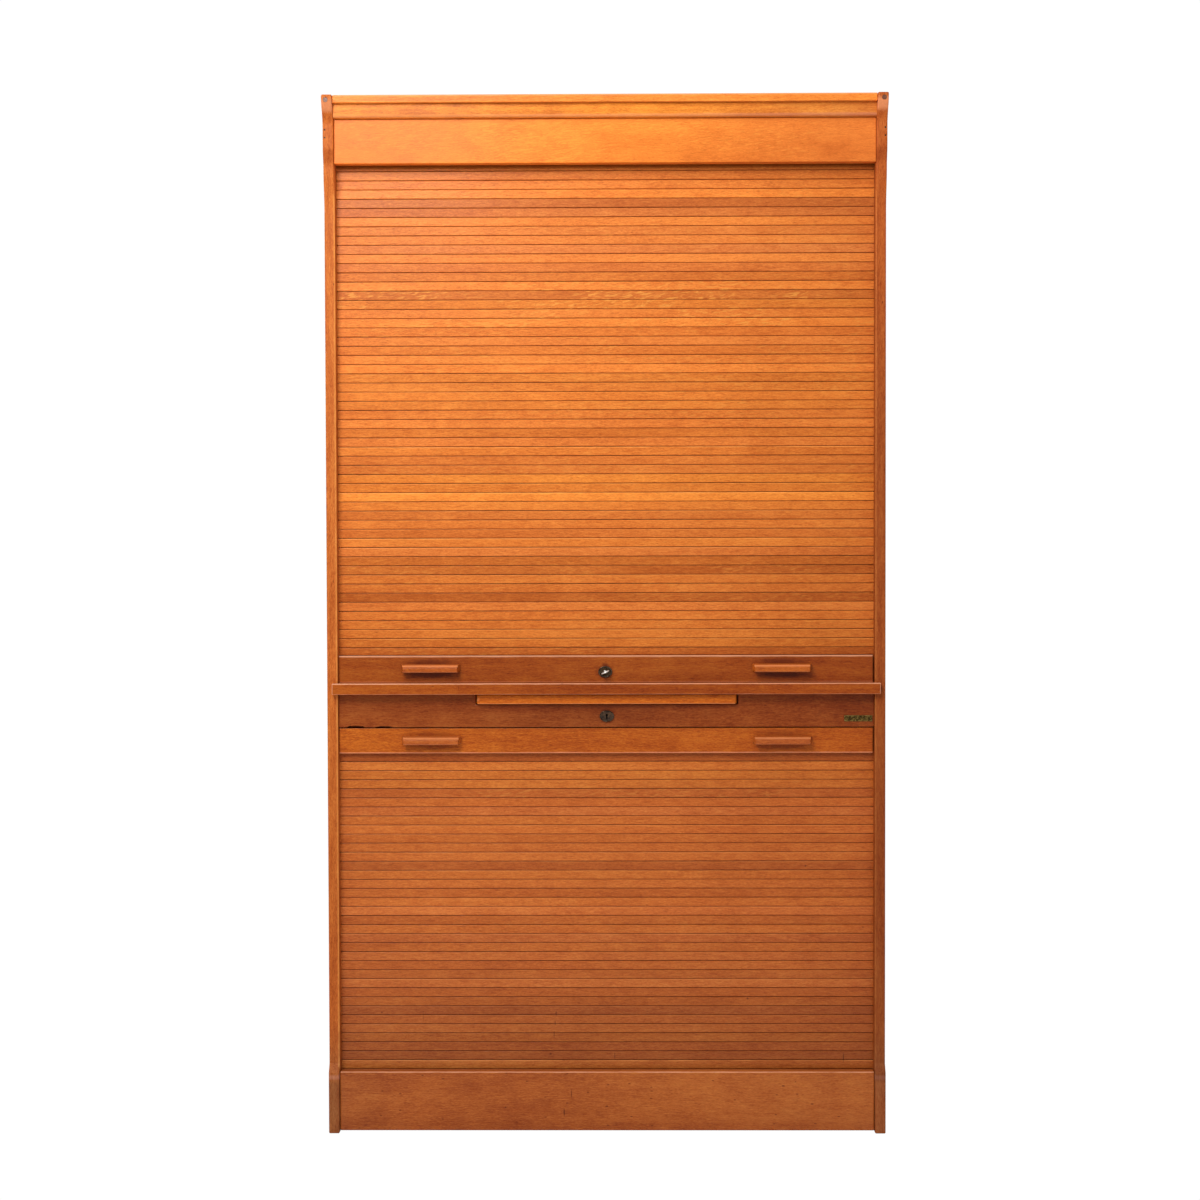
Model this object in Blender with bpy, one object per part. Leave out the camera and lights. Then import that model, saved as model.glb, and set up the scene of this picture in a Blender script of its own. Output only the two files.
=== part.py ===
"""Tall roll-front desk cabinet: two tambour shutters, a projecting worktop edge and a writing slide.

Metres, +Z up. The front faces -Y, and the floor is z = 0. The origin is the middle of the footprint.
"""
import math

import bmesh
import bpy
from mathutils import Matrix, Vector

# ---- overall size ----
WIDTH = 1.080
HEIGHT = 2.000
DEPTH = 0.460
GAP = 0.0003                      # air left between touching pieces

# ---- side panels ----
SIDE_T = 0.0205
TOP_FLARE = 0.034                 # how far the front edge leans forward at the top
SHOULDER_FLARE = 0.0098           # share of that lean reached just under the header
HEADER_FLARE = 0.0165             # share of that lean reached beside the header
FOOT_STEP = 0.0098                # forward step of the front edge beside the plinth
FOOT_STEP_Z = 0.1185
FOOT_BEVEL_H = 0.0165
FRONT_Y = -DEPTH / 2 + TOP_FLARE  # front edge of the sides over most of their height
BACK_Y = DEPTH / 2
INNER_X = WIDTH / 2 - SIDE_T
FIT_X = INNER_X - GAP

# ---- tambour track and shutters ----
PITCH = 0.017734                  # slat spacing
CURTAIN_T = 0.0074
CURTAIN_FRONT = FRONT_Y + 0.0223
CURTAIN_BACK = CURTAIN_FRONT + CURTAIN_T
TRACK_Y = (CURTAIN_FRONT + CURTAIN_BACK) / 2
TRACK_W = 0.009
TRACK_DEPTH = 0.006
TRACK_R = 0.030
TRACK_REAR_Y = 0.204
TONGUE_X = INNER_X + 0.005
SLAT_GROOVE_W = 0.0012
SLAT_GROOVE_D = 0.0022
SLAT_CHAMFER = 0.0005

# ---- levels ----
TOP_T = 0.015
CORNICE_Z0 = 1.9582
CORNICE_PROUD = 0.0195               # how far its face stands in front of the side edges
CORNICE_R = 0.0065                   # round on its lower front edge
HEADER_Z0 = 1.8735
UPPER_ANCHOR_Z = 1.9245
UPPER_FIRST_GROOVE_Z = 0.94267
UPPER_RAIL_Z0, UPPER_RAIL_Z1 = 0.8755, 0.9277
WORKTOP_Z0, WORKTOP_Z1 = 0.8535, 0.8752
MID_RAIL_Z0, MID_RAIL_Z1 = 0.7885, 0.8532
SLIDE_Z0, SLIDE_Z1 = 0.8340, 0.8520
LOWER_RAIL_Z0, LOWER_RAIL_Z1 = 0.7378, 0.7865
LOWER_FIRST_GROOVE_Z = 0.72036
LOWER_ANCHOR_Z = 0.0705
PLINTH_Z0, PLINTH_Z1 = 0.004, 0.1195
INNER_TOP_Z0, INNER_TOP_Z1 = 1.918, 1.930
DUST_Z0, DUST_Z1 = 0.776, 0.784
BOTTOM_Z0, BOTTOM_Z1 = 0.102, 0.120

# ---- depths ----
RAIL_FACE = FRONT_Y + 0.012
RAIL_BACK = CURTAIN_BACK + 0.0005
MID_FACE = FRONT_Y + 0.010
WORKTOP_NOSE = FRONT_Y - 0.013
WORKTOP_HALF = 0.5292
HEADER_FACE = FRONT_Y - 0.009
HEADER_T = 0.0185
PLINTH_FACE = FRONT_Y - 0.0040
PLINTH_T = 0.018
SHELF_FRONT = -0.148
FALSE_BACK_Y = 0.185
FALSE_BACK_T = 0.006
BACK_PANEL_Y = 0.218
BACK_PANEL_T = 0.008

# ---- shelves ----
SHELF_T = 0.018
UPPER_SHELVES = (1.127, 1.388, 1.649)
LOWER_SHELVES = (0.438,)
CLEAT_W, CLEAT_H = 0.018, 0.016

# ---- writing slide ----
SLIDE_X0, SLIDE_X1 = -0.2506, 0.2524
NOTCH_X0, NOTCH_X1 = -0.2530, 0.2560
SLIDE_PROUD = 0.010
SLIDE_DEPTH = 0.370
SLIDE_TRAVEL = 0.300

# ---- handles, locks, key ----
HANDLE_L = 0.1150
HANDLE_OUT = 0.020
UPPER_HANDLE_TOP = 0.9115
LOWER_HANDLE_TOP = 0.7715
HANDLE_XS = (-0.3400, 0.3405)
UPPER_LOCK = (-0.0013, 0.8958)
LOWER_LOCK = (0.0015, 0.8100)
BOLT_W, BOLT_T = 0.012, 0.0034
BOLT_THROW = 0.0065
KEY_TILT = math.radians(30.0)
PLATE_X0, PLATE_X1 = 0.4612, 0.5158
PLATE_Z0, PLATE_Z1 = 0.7992, 0.8108


def clear_scene():
    for ob in list(bpy.data.objects):
        bpy.data.objects.remove(ob, do_unlink=True)


def material(name, rgb, rough, metal=0.0):
    mat = bpy.data.materials.new(name)
    mat.use_nodes = True
    bsdf = mat.node_tree.nodes["Principled BSDF"]
    bsdf.inputs["Base Color"].default_value = (rgb[0], rgb[1], rgb[2], 1.0)
    bsdf.inputs["Roughness"].default_value = rough
    bsdf.inputs["Metallic"].default_value = metal
    mat.diffuse_color = (rgb[0], rgb[1], rgb[2], 1.0)
    return mat


WOOD = {
    "side": (0.52, 0.17, 0.045),
    "header": (0.72, 0.30, 0.085),
    "slat_up": (0.58, 0.21, 0.055),
    "slat_low": (0.42, 0.13, 0.035),
    "rail_up": (0.33, 0.075, 0.015),
    "rail_low": (0.40, 0.10, 0.018),
    "mid": (0.27, 0.055, 0.012),
    "worktop": (0.36, 0.085, 0.016),
    "slide": (0.52, 0.16, 0.030),
    "plinth": (0.38, 0.11, 0.028),
    "inside": (0.55, 0.27, 0.10),
    "ply": (0.50, 0.30, 0.14),
}
BRONZE = (0.10, 0.065, 0.035)
BRASS = (0.55, 0.38, 0.13)
STEEL = (0.62, 0.61, 0.58)


def finish(name, bm, rgb, rough=0.42, metal=0.0, origin=None, smooth=False):
    """Turn a bmesh in world metres into an object whose origin is at the given point."""
    bmesh.ops.recalc_face_normals(bm, faces=bm.faces)
    place = Vector(origin) if origin is not None else Vector((0.0, 0.0, 0.0))
    bmesh.ops.translate(bm, verts=bm.verts, vec=-place)
    mesh = bpy.data.meshes.new(name)
    bm.to_mesh(mesh)
    bm.free()
    ob = bpy.data.objects.new(name, mesh)
    bpy.context.scene.collection.objects.link(ob)
    ob.location = place
    mesh.materials.append(material(name, rgb, rough, metal))
    if smooth:
        for poly in mesh.polygons:
            poly.use_smooth = True
    return ob


def prism_mesh(points, axis, a, b):
    """Closed prism: a 2D outline swept from a to b along an axis.

    The outline holds (y, z) for X, (x, z) for Y and (x, y) for Z.
    """
    bm = bmesh.new()
    rings = []
    for level in (a, b):
        ring = []
        for u, v in points:
            if axis == "X":
                co = (level, u, v)
            elif axis == "Y":
                co = (u, level, v)
            else:
                co = (u, v, level)
            ring.append(bm.verts.new(co))
        rings.append(ring)
    bm.faces.new(rings[0])
    bm.faces.new(rings[1])
    count = len(points)
    for i in range(count):
        j = (i + 1) % count
        bm.faces.new((rings[0][i], rings[0][j], rings[1][j], rings[1][i]))
    return bm


def prism(name, points, axis, a, b, rgb, **more):
    return finish(name, prism_mesh(points, axis, a, b), rgb, **more)


def block(name, x, y, z, rgb, **more):
    outline = [(x[0], y[0]), (x[1], y[0]), (x[1], y[1]), (x[0], y[1])]
    return prism(name, outline, "Z", z[0], z[1], rgb, **more)


def rod_mesh(centre, axis, radius, a, b, sides=32):
    """Closed cylinder along X, Y or Z between levels a and b; centre gives the other two coordinates."""
    ring = []
    for i in range(sides):
        t = 2 * math.pi * i / sides
        ring.append((centre[0] + radius * math.cos(t), centre[1] + radius * math.sin(t)))
    return prism_mesh(ring, axis, a, b)


def rod(name, centre, axis, radius, a, b, rgb, sides=32, **more):
    return finish(name, rod_mesh(centre, axis, radius, a, b, sides), rgb, smooth=True, **more)


def oval(cx, cz, rx, rz, sides=40):
    out = []
    for i in range(sides):
        t = 2 * math.pi * i / sides
        out.append((cx + rx * math.cos(t), cz + rz * math.sin(t)))
    return out


def soften(ob, width, segments=2, angle=35.0):
    mod = ob.modifiers.new("edges", "BEVEL")
    mod.width = width
    mod.segments = segments
    mod.limit_method = "ANGLE"
    mod.angle_limit = math.radians(angle)
    mod.harden_normals = False
    return mod


def tool(name, bm):
    """A cutter that isn't part of the object."""
    ob = finish("cut_" + name, bm, (0.5, 0.5, 0.5))
    ob.hide_render = True
    ob.display_type = "WIRE"
    return ob


def carve(ob, bm, how="DIFFERENCE"):
    cutter = tool(ob.name + str(len(ob.modifiers)), bm)
    mod = ob.modifiers.new("cut", "BOOLEAN")
    mod.operation = how
    mod.solver = "EXACT"
    mod.object = cutter
    return cutter


def box_mesh(x, y, z):
    outline = [(x[0], y[0]), (x[1], y[0]), (x[1], y[1]), (x[0], y[1])]
    return prism_mesh(outline, "Z", z[0], z[1])


def smoothstep(a, b, v):
    t = min(1.0, max(0.0, (v - a) / (b - a)))
    return t * t * (3.0 - 2.0 * t)


def front_edge(z):
    """Y of the sides' front edge at height z: three soft curves up to the top, plumb, then the foot step."""
    lean = SHOULDER_FLARE * smoothstep(1.785, 1.862, z)
    lean += (HEADER_FLARE - SHOULDER_FLARE) * smoothstep(1.864, 1.906, z)
    lean += (TOP_FLARE - HEADER_FLARE) * smoothstep(1.945, 1.994, z)
    lean += FOOT_STEP * (1.0 - min(1.0, max(0.0, (z - FOOT_STEP_Z) / FOOT_BEVEL_H)))
    return FRONT_Y - lean


def side_outline():
    points = [(BACK_Y, HEIGHT), (BACK_Y, 0.0)]
    zs = [0.0, FOOT_STEP_Z, FOOT_STEP_Z + FOOT_BEVEL_H]
    zs += [1.785 + 0.0055 * i for i in range(15)]
    zs += [1.8675 + 0.0035 * i for i in range(12)]
    zs += [1.943 + 0.003 * i for i in range(18)]
    zs += [HEIGHT]
    for z in zs:
        points.append((front_edge(z), z))
    return points


def band(path, half):
    """Closed outline of a strip of half-width `half` round an open 2D path."""
    left, right = [], []
    for i, p in enumerate(path):
        a = path[max(0, i - 1)]
        b = path[min(len(path) - 1, i + 1)]
        d = Vector((b[0] - a[0], b[1] - a[1])).normalized()
        left.append((p[0] - d.y * half, p[1] + d.x * half))
        right.append((p[0] + d.y * half, p[1] - d.x * half))
    return left + right[::-1]


def arc(cy, cz, r, start, stop, steps=7):
    out = []
    for i in range(steps):
        t = math.radians(start + (stop - start) * i / (steps - 1))
        out.append((cy + r * math.cos(t), cz + r * math.sin(t)))
    return out


def upper_track():
    """Centre line of the upper groove: up the front, over the top, and down behind the false back."""
    z = UPPER_ANCHOR_Z + 0.0005
    path = [(TRACK_Y, WORKTOP_Z1 - 0.0005)]
    path += arc(TRACK_Y + TRACK_R, z, TRACK_R, 180.0, 90.0)
    path += arc(TRACK_REAR_Y - TRACK_R, z, TRACK_R, 90.0, 0.0)
    path += [(TRACK_REAR_Y, 1.10)]
    return path


def lower_track():
    """Centre line of the lower groove: down the front, under the floor, and up behind the false back."""
    z = LOWER_ANCHOR_Z - 0.0005
    path = [(TRACK_Y, MID_RAIL_Z0 + 0.0005)]
    path += arc(TRACK_Y + TRACK_R, z, TRACK_R, 180.0, 270.0)
    path += arc(TRACK_REAR_Y - TRACK_R, z, TRACK_R, 270.0, 360.0)
    path += [(TRACK_REAR_Y, 0.45)]
    return path


def make_side(name, sign):
    inner = sign * INNER_X
    outer = sign * WIDTH / 2
    ob = prism(name, side_outline(), "X", min(inner, outer), max(inner, outer), WOOD["side"])
    soften(ob, 0.0022, 2, 50.0)
    floor_x = sign * (INNER_X + TRACK_DEPTH)
    mouth_x = sign * (INNER_X - 0.001)
    for path in (upper_track(), lower_track()):
        strip = band(path, TRACK_W / 2)
        carve(ob, prism_mesh(strip, "X", min(floor_x, mouth_x), max(floor_x, mouth_x)))
    for x, z, radius in edge_fixings(sign):
        y = front_edge(z)
        carve(ob, rod_mesh((x, z), "Y", radius + GAP, y - 0.006, y + 0.0052, 20))
    return ob


def edge_fixings(sign):
    """Plug and pins let into the front edge beside the cornice and header: (x, z, radius)."""
    return (
        (sign * 0.5315, 1.9900, 0.0044),
        (sign * 0.5360, 1.9370, 0.0014),
        (sign * 0.5360, 1.9220, 0.0014),
    )


def make_carcass():
    for name, sign in (("side_panel_left", -1), ("side_panel_right", 1)):
        make_side(name, sign)
    for tag, sign in (("left", -1), ("right", 1)):
        for i, (x, z, radius) in enumerate(edge_fixings(sign)):
            name = "edge_plug_" + tag if i == 0 else "panel_pin_" + tag + "_" + str(i)
            y = front_edge(z)
            rod(name, (x, z), "Y", radius, y + 0.0004, y + 0.0049, WOOD["mid"], sides=20)

    top_front = FRONT_Y - 0.0285
    top_outline = [(top_front, HEIGHT - TOP_T), (BACK_Y, HEIGHT - TOP_T), (BACK_Y, HEIGHT), (top_front, HEIGHT)]
    top = prism("top_panel", top_outline, "X", -FIT_X, FIT_X, WOOD["header"])
    soften(top, 0.0012)

    face, rear, r = FRONT_Y - CORNICE_PROUD, FRONT_Y + 0.0010, CORNICE_R
    cornice_top = HEIGHT - TOP_T - GAP
    rounded = arc(face + r, CORNICE_Z0 + r, r, 180.0, 270.0)
    profile = [(rear, cornice_top), (face, cornice_top)] + rounded + [(rear, CORNICE_Z0)]
    prism("cornice_moulding", profile, "X", -FIT_X, FIT_X, WOOD["header"])

    back = HEADER_FACE + HEADER_T
    header = block("header_panel", (-FIT_X, FIT_X), (HEADER_FACE, back), (HEADER_Z0, CORNICE_Z0 - GAP),
                   WOOD["header"])
    soften(header, 0.0012)

    inner_top = block("inner_top_panel", (-FIT_X, FIT_X), (SHELF_FRONT, FALSE_BACK_Y + FALSE_BACK_T),
                      (INNER_TOP_Z0, INNER_TOP_Z1), WOOD["inside"])
    soften(inner_top, 0.0008, 1)
    for name, z0, z1 in (("inner_back_upper", WORKTOP_Z1 + GAP, INNER_TOP_Z0 - GAP),
                         ("inner_back_lower", BOTTOM_Z1 + GAP, DUST_Z0 - GAP)):
        block(name, (-FIT_X, FIT_X), (FALSE_BACK_Y, FALSE_BACK_Y + FALSE_BACK_T), (z0, z1), WOOD["inside"])
    bottom = block("bottom_panel", (-FIT_X, FIT_X), (SHELF_FRONT, FALSE_BACK_Y + FALSE_BACK_T),
                   (BOTTOM_Z0, BOTTOM_Z1), WOOD["inside"])
    soften(bottom, 0.0010, 1)
    block("dust_panel", (-FIT_X, FIT_X), (SHELF_FRONT, FALSE_BACK_Y + FALSE_BACK_T), (DUST_Z0, DUST_Z1),
          WOOD["ply"])
    block("back_panel", (-FIT_X, FIT_X), (BACK_PANEL_Y, BACK_PANEL_Y + BACK_PANEL_T),
          (0.020, HEIGHT - TOP_T - GAP), WOOD["ply"])
    plinth = block("plinth", (-FIT_X, FIT_X), (PLINTH_FACE, PLINTH_FACE + PLINTH_T), (PLINTH_Z0, PLINTH_Z1),
                   WOOD["plinth"])
    soften(plinth, 0.0030, 3)


def make_shelves():
    sets = [("upper", UPPER_SHELVES), ("lower", LOWER_SHELVES)]
    for level, heights in sets:
        for i, z in enumerate(heights):
            tag = level + "_" + str(i + 1)
            shelf = block("shelf_" + tag, (-FIT_X, FIT_X), (SHELF_FRONT, FALSE_BACK_Y - GAP), (z, z + SHELF_T),
                          WOOD["inside"])
            soften(shelf, 0.0012)
            for side, sign in (("left", -1), ("right", 1)):
                a = sign * FIT_X
                b = sign * (FIT_X - CLEAT_W)
                cleat = block("cleat_" + tag + "_" + side, (min(a, b), max(a, b)), (-0.125, 0.165),
                              (z - GAP - CLEAT_H, z - GAP), WOOD["inside"])
                soften(cleat, 0.0012, 1)


def make_worktop():
    """Board between the sides whose front nose laps over the sides' front edges."""
    nose = FRONT_Y - GAP
    outline = [
        (-WORKTOP_HALF, WORKTOP_NOSE), (WORKTOP_HALF, WORKTOP_NOSE),
        (WORKTOP_HALF, nose), (FIT_X, nose),
        (FIT_X, FALSE_BACK_Y + FALSE_BACK_T), (-FIT_X, FALSE_BACK_Y + FALSE_BACK_T),
        (-FIT_X, nose), (-WORKTOP_HALF, nose),
    ]
    top = prism("worktop", outline, "Z", WORKTOP_Z0, WORKTOP_Z1, WOOD["worktop"])
    soften(top, 0.0014)
    x = UPPER_LOCK[0]
    y0, y1 = bolt_band()
    above = WORKTOP_Z1 + 0.01
    carve(top, box_mesh((x - 0.0180, x + 0.0180), (y0 - 0.0030, y1 + 0.0030), (WORKTOP_Z1 - 0.0018, above)))
    carve(top, box_mesh((x - 0.0085, x + 0.0085), (y0 - 0.0008, y1 + 0.0008), (WORKTOP_Z1 - 0.0100, above)))
    strike("upper_strike_plate", x, WORKTOP_Z1 - 0.0015, WORKTOP_Z1)


def bolt_band():
    """Front and back Y of both lock bolts."""
    y1 = RAIL_BACK - 0.0010
    return y1 - BOLT_T, y1


def strike(name, x, z0, z1):
    y0, y1 = bolt_band()
    ob = block(name, (x - 0.0176, x + 0.0176), (y0 - 0.0026, y1 + 0.0026), (z0, z1), BRASS,
               rough=0.35, metal=1.0)
    carve(ob, box_mesh((x - 0.0080, x + 0.0080), (y0 - 0.0006, y1 + 0.0006), (z0 - 0.01, z1 + 0.01)))
    return ob


def rail_outline(face, back, x0, x1):
    """Plan of a shutter rail: full-thickness body with a tongue at each end that runs in the track."""
    t0 = CURTAIN_FRONT
    t1 = CURTAIN_BACK
    return [
        (x0, face), (x1, face), (x1, t0), (TONGUE_X, t0), (TONGUE_X, t1), (x1, t1), (x1, back),
        (x0, back), (x0, t1), (-TONGUE_X, t1), (-TONGUE_X, t0), (x0, t0),
    ]


def lock_recess(ob, x, z, face, z_low, z_high, slot_z):
    """Pocket for a lock case from behind, a hole for the key, and a slot for the bolt."""
    y0, y1 = bolt_band()
    carve(ob, box_mesh((x - 0.0203, x + 0.0203), (RAIL_BACK - 0.0112, RAIL_BACK + 0.01), (z_low, z_high)))
    carve(ob, rod_mesh((x, z), "Y", 0.0030, face - 0.01, RAIL_BACK - 0.008, 24))
    carve(ob, box_mesh((x - 0.0067, x + 0.0067), (y0 - 0.0004, RAIL_BACK + 0.01), slot_z))


def lock_case(name, x, z, z_low, z_high, down):
    """Case with a round key well in front and a bolt channel behind."""
    y0, y1 = bolt_band()
    case = block(name, (x - 0.0200, x + 0.0200), (RAIL_BACK - 0.0109, RAIL_BACK - 0.0003),
                 (z_low + GAP, z_high - GAP), BRONZE, rough=0.45, metal=1.0)
    soften(case, 0.0006, 1)
    carve(case, rod_mesh((x, z), "Y", 0.0056, RAIL_BACK - 0.0100, RAIL_BACK - 0.0040, 28))
    carve(case, rod_mesh((x, z), "Y", 0.0030, RAIL_BACK - 0.02, RAIL_BACK - 0.0060, 24))
    low = z_low - 0.02 if down else z_low + 0.004
    carve(case, box_mesh((x - 0.0067, x + 0.0067), (y0 - 0.0004, RAIL_BACK + 0.01), (low, z_high - 0.0025)))
    return case


def escutcheon(name, x, z, face, rx, rz):
    ob = prism(name, oval(x, z, rx, rz), "Y", face - 0.0022, face - GAP, BRONZE, rough=0.38, metal=1.0)
    soften(ob, 0.0007, 2, 50.0)
    return ob


def make_key(body):
    """Shank, bit and round bow in one piece; the origin is on the turning axis."""
    x, z = UPPER_LOCK
    y_face = RAIL_FACE
    bm = rod_mesh((0.0, 0.0), "Y", 0.0018, y_face - 0.0110, RAIL_BACK - 0.0048, 24)
    bmesh.ops.translate(bm, verts=bm.verts, vec=(x, 0.0, z))
    key = finish("key", bm, STEEL, rough=0.30, metal=1.0, origin=(x, y_face, z), smooth=True)
    turn = Matrix.Rotation(-KEY_TILT, 4, "Y")
    bow = rod_mesh((0.0, -0.0155), "Z", 0.0078, -0.0012, 0.0012, 36)
    bit = box_mesh((0.0, 0.0046), (RAIL_BACK - 0.0092 - y_face, RAIL_BACK - 0.0052 - y_face), (-0.0008, 0.0008))
    hole = rod_mesh((0.0, -0.0175), "Z", 0.0028, -0.01, 0.01, 24)
    for piece, how in ((bow, "UNION"), (bit, "UNION"), (hole, "DIFFERENCE")):
        bmesh.ops.transform(piece, matrix=turn, verts=piece.verts)
        bmesh.ops.translate(piece, verts=piece.verts, vec=(x, y_face, z))
        carve(key, piece, how)
    key.parent = body
    key.matrix_parent_inverse = body.matrix_world.inverted()
    return key


def empty(name, at):
    ob = bpy.data.objects.new(name, None)
    bpy.context.scene.collection.objects.link(ob)
    ob.location = at
    bpy.context.view_layer.update()
    return ob


def attach(child, parent):
    child.parent = parent
    child.matrix_parent_inverse = parent.matrix_world.inverted()


def handle(name, x, z_top, face):
    """Finger batten: chamfered top, upright nose, hollow underside; its ends taper to the front."""
    y = face - GAP
    out = HANDLE_OUT
    profile = [
        (y, z_top), (y - out + 0.0062, z_top - 0.0012), (y - out, z_top - 0.0062), (y - out, z_top - 0.0142),
        (y - out + 0.0016, z_top - 0.0158), (y - out + 0.0065, z_top - 0.0158), (y - out + 0.0090, z_top - 0.0128),
        (y - out + 0.0125, z_top - 0.0118), (y - out + 0.0160, z_top - 0.0130), (y, z_top - 0.0165),
    ]
    bm = prism_mesh(profile, "X", x - HANDLE_L / 2, x + HANDLE_L / 2)
    for v in bm.verts:
        share = min(1.0, (y - v.co.y) / out)
        inset = 0.0048 * share
        v.co.x += inset if v.co.x < x else -inset
    ob = finish(name, bm, WOOD["rail_up"])
    soften(ob, 0.0007, 2, 30.0)
    return ob


def curtain(name, z_low, z_high, first_groove, direction, rgb):
    """One closed strip of slats on a cloth back: the front is grooved at every slat joint."""
    grooves = []
    z = first_groove
    while z_low + 0.004 < z < z_high - 0.004:
        grooves.append(z)
        z += direction * PITCH
    grooves.sort()
    face = CURTAIN_FRONT
    half = SLAT_GROOVE_W / 2
    outline = [(CURTAIN_BACK, z_high), (CURTAIN_BACK, z_low), (face, z_low)]
    for g in grooves:
        outline += [
            (face, g - half - SLAT_CHAMFER), (face + SLAT_CHAMFER, g - half),
            (face + SLAT_GROOVE_D, g - half), (face + SLAT_GROOVE_D, g + half),
            (face + SLAT_CHAMFER, g + half), (face, g + half + SLAT_CHAMFER),
        ]
    outline.append((face, z_high))
    return prism(name, outline, "X", -TONGUE_X, TONGUE_X, rgb)


def make_upper_shutter():
    body = empty("upper_shutter", (0.0, TRACK_Y, UPPER_RAIL_Z0))
    outline = rail_outline(RAIL_FACE, RAIL_BACK, -FIT_X - 0.0001 + 0.0008, FIT_X - 0.0024)
    rail = prism("upper_tambour_rail", outline, "Z", UPPER_RAIL_Z0, UPPER_RAIL_Z1, WOOD["rail_up"])
    soften(rail, 0.0016)
    x, z = UPPER_LOCK
    lock_recess(rail, x, z, RAIL_FACE, 0.8800, 0.9175, (UPPER_RAIL_Z0 - 0.01, 0.8810))
    case = lock_case("upper_lock_case", x, z, 0.8800, 0.9175, True)
    y0, y1 = bolt_band()
    bolt = block("upper_lock_bolt", (x - BOLT_W / 2, x + BOLT_W / 2), (y0, y1), (0.8690, 0.9080), STEEL,
                 rough=0.35, metal=1.0, origin=(x, (y0 + y1) / 2, 0.8755))
    plate = escutcheon("upper_escutcheon", x, z, RAIL_FACE, 0.0135, 0.0110)
    carve(plate, rod_mesh((x, z), "Y", 0.0030, RAIL_FACE - 0.01, RAIL_FACE + 0.01, 24))
    make_key(body)
    strip = curtain("upper_tambour_curtain", UPPER_RAIL_Z1 + GAP, UPPER_ANCHOR_Z, UPPER_FIRST_GROOVE_Z, 1,
                    WOOD["slat_up"])
    pieces = [rail, case, bolt, plate, strip]
    for tag, hx in (("left", HANDLE_XS[0]), ("right", HANDLE_XS[1])):
        pieces.append(handle("upper_handle_" + tag, hx, UPPER_HANDLE_TOP, RAIL_FACE))
    for ob in pieces:
        attach(ob, body)


def make_lower_shutter():
    body = empty("lower_shutter", (0.0, TRACK_Y, LOWER_RAIL_Z1))
    outline = rail_outline(RAIL_FACE, RAIL_BACK, -FIT_X - 0.0001 + 0.0008, FIT_X - 0.0024)
    rail = prism("lower_tambour_rail", outline, "Z", LOWER_RAIL_Z0, LOWER_RAIL_Z1, WOOD["rail_low"])
    soften(rail, 0.0016)
    x = LOWER_LOCK[0]
    y0, y1 = bolt_band()
    top = LOWER_RAIL_Z1
    carve(rail, box_mesh((x - 0.0180, x + 0.0180), (y0 - 0.0030, RAIL_BACK + 0.01), (top - 0.0018, top + 0.01)))
    carve(rail, box_mesh((x - 0.0085, x + 0.0085), (y0 - 0.0008, y1 + 0.0004), (top - 0.0110, top + 0.01)))
    plate = block("lower_strike_plate", (x - 0.0176, x + 0.0176), (y0 - 0.0026, RAIL_BACK),
                  (top - 0.0015, top), BRASS, rough=0.35, metal=1.0)
    carve(plate, box_mesh((x - 0.0080, x + 0.0080), (y0 - 0.0006, y1 + 0.0003), (top - 0.01, top + 0.01)))
    strip = curtain("lower_tambour_curtain", LOWER_ANCHOR_Z, LOWER_RAIL_Z0 - GAP, LOWER_FIRST_GROOVE_Z, -1,
                    WOOD["slat_low"])
    pieces = [rail, plate, strip]
    for tag, hx in (("left", HANDLE_XS[0] + 0.0010), ("right", HANDLE_XS[1] + 0.0010)):
        pieces.append(handle("lower_handle_" + tag, hx, LOWER_HANDLE_TOP, RAIL_FACE))
    for ob in pieces:
        attach(ob, body)


def make_mid_rail():
    outline = [
        (-FIT_X, MID_RAIL_Z0), (FIT_X, MID_RAIL_Z0), (FIT_X, MID_RAIL_Z1), (NOTCH_X1, MID_RAIL_Z1),
        (NOTCH_X1, SLIDE_Z0 - 0.0016), (NOTCH_X0, SLIDE_Z0 - 0.0016), (NOTCH_X0, MID_RAIL_Z1),
        (-FIT_X, MID_RAIL_Z1),
    ]
    rail = prism("mid_rail", outline, "Y", MID_FACE, RAIL_BACK, WOOD["mid"])
    soften(rail, 0.0010)
    x, z = LOWER_LOCK
    y0, y1 = bolt_band()
    lock_recess(rail, x, z, MID_FACE, 0.7930, 0.8300, (MID_RAIL_Z0 - 0.01, 0.7940))
    lock_case("lower_lock_case", x, z, 0.7930, 0.8300, True)
    block("lower_lock_bolt", (x - BOLT_W / 2, x + BOLT_W / 2), (y0, y1), (0.7889, 0.8265), STEEL,
          rough=0.35, metal=1.0, origin=(x, (y0 + y1) / 2, 0.7889))
    plate = escutcheon("lower_escutcheon", x, z, MID_FACE, 0.0140, 0.0110)
    carve(plate, rod_mesh((x, z + 0.0020), "Y", 0.0024, MID_FACE - 0.01, MID_FACE + 0.01, 24))
    slot = (z - 0.0060, z + 0.0020)
    carve(plate, box_mesh((x - 0.0013, x + 0.0013), (MID_FACE - 0.01, MID_FACE + 0.01), slot))

    name_plate = block("nameplate", (PLATE_X0, PLATE_X1), (MID_FACE - GAP - 0.0010, MID_FACE - GAP),
                       (PLATE_Z0, PLATE_Z1), BRASS, rough=0.45, metal=1.0)
    soften(name_plate, 0.0003, 1)
    for tag, px in (("left", PLATE_X0 + 0.0035), ("right", PLATE_X1 - 0.0035)):
        z_mid = (PLATE_Z0 + PLATE_Z1) / 2
        face = MID_FACE - 2 * GAP - 0.0010
        rod("nameplate_pin_" + tag, (px, z_mid), "Y", 0.0013, face - 0.0007, face, BRASS,
            sides=20, rough=0.4, metal=1.0)


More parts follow.
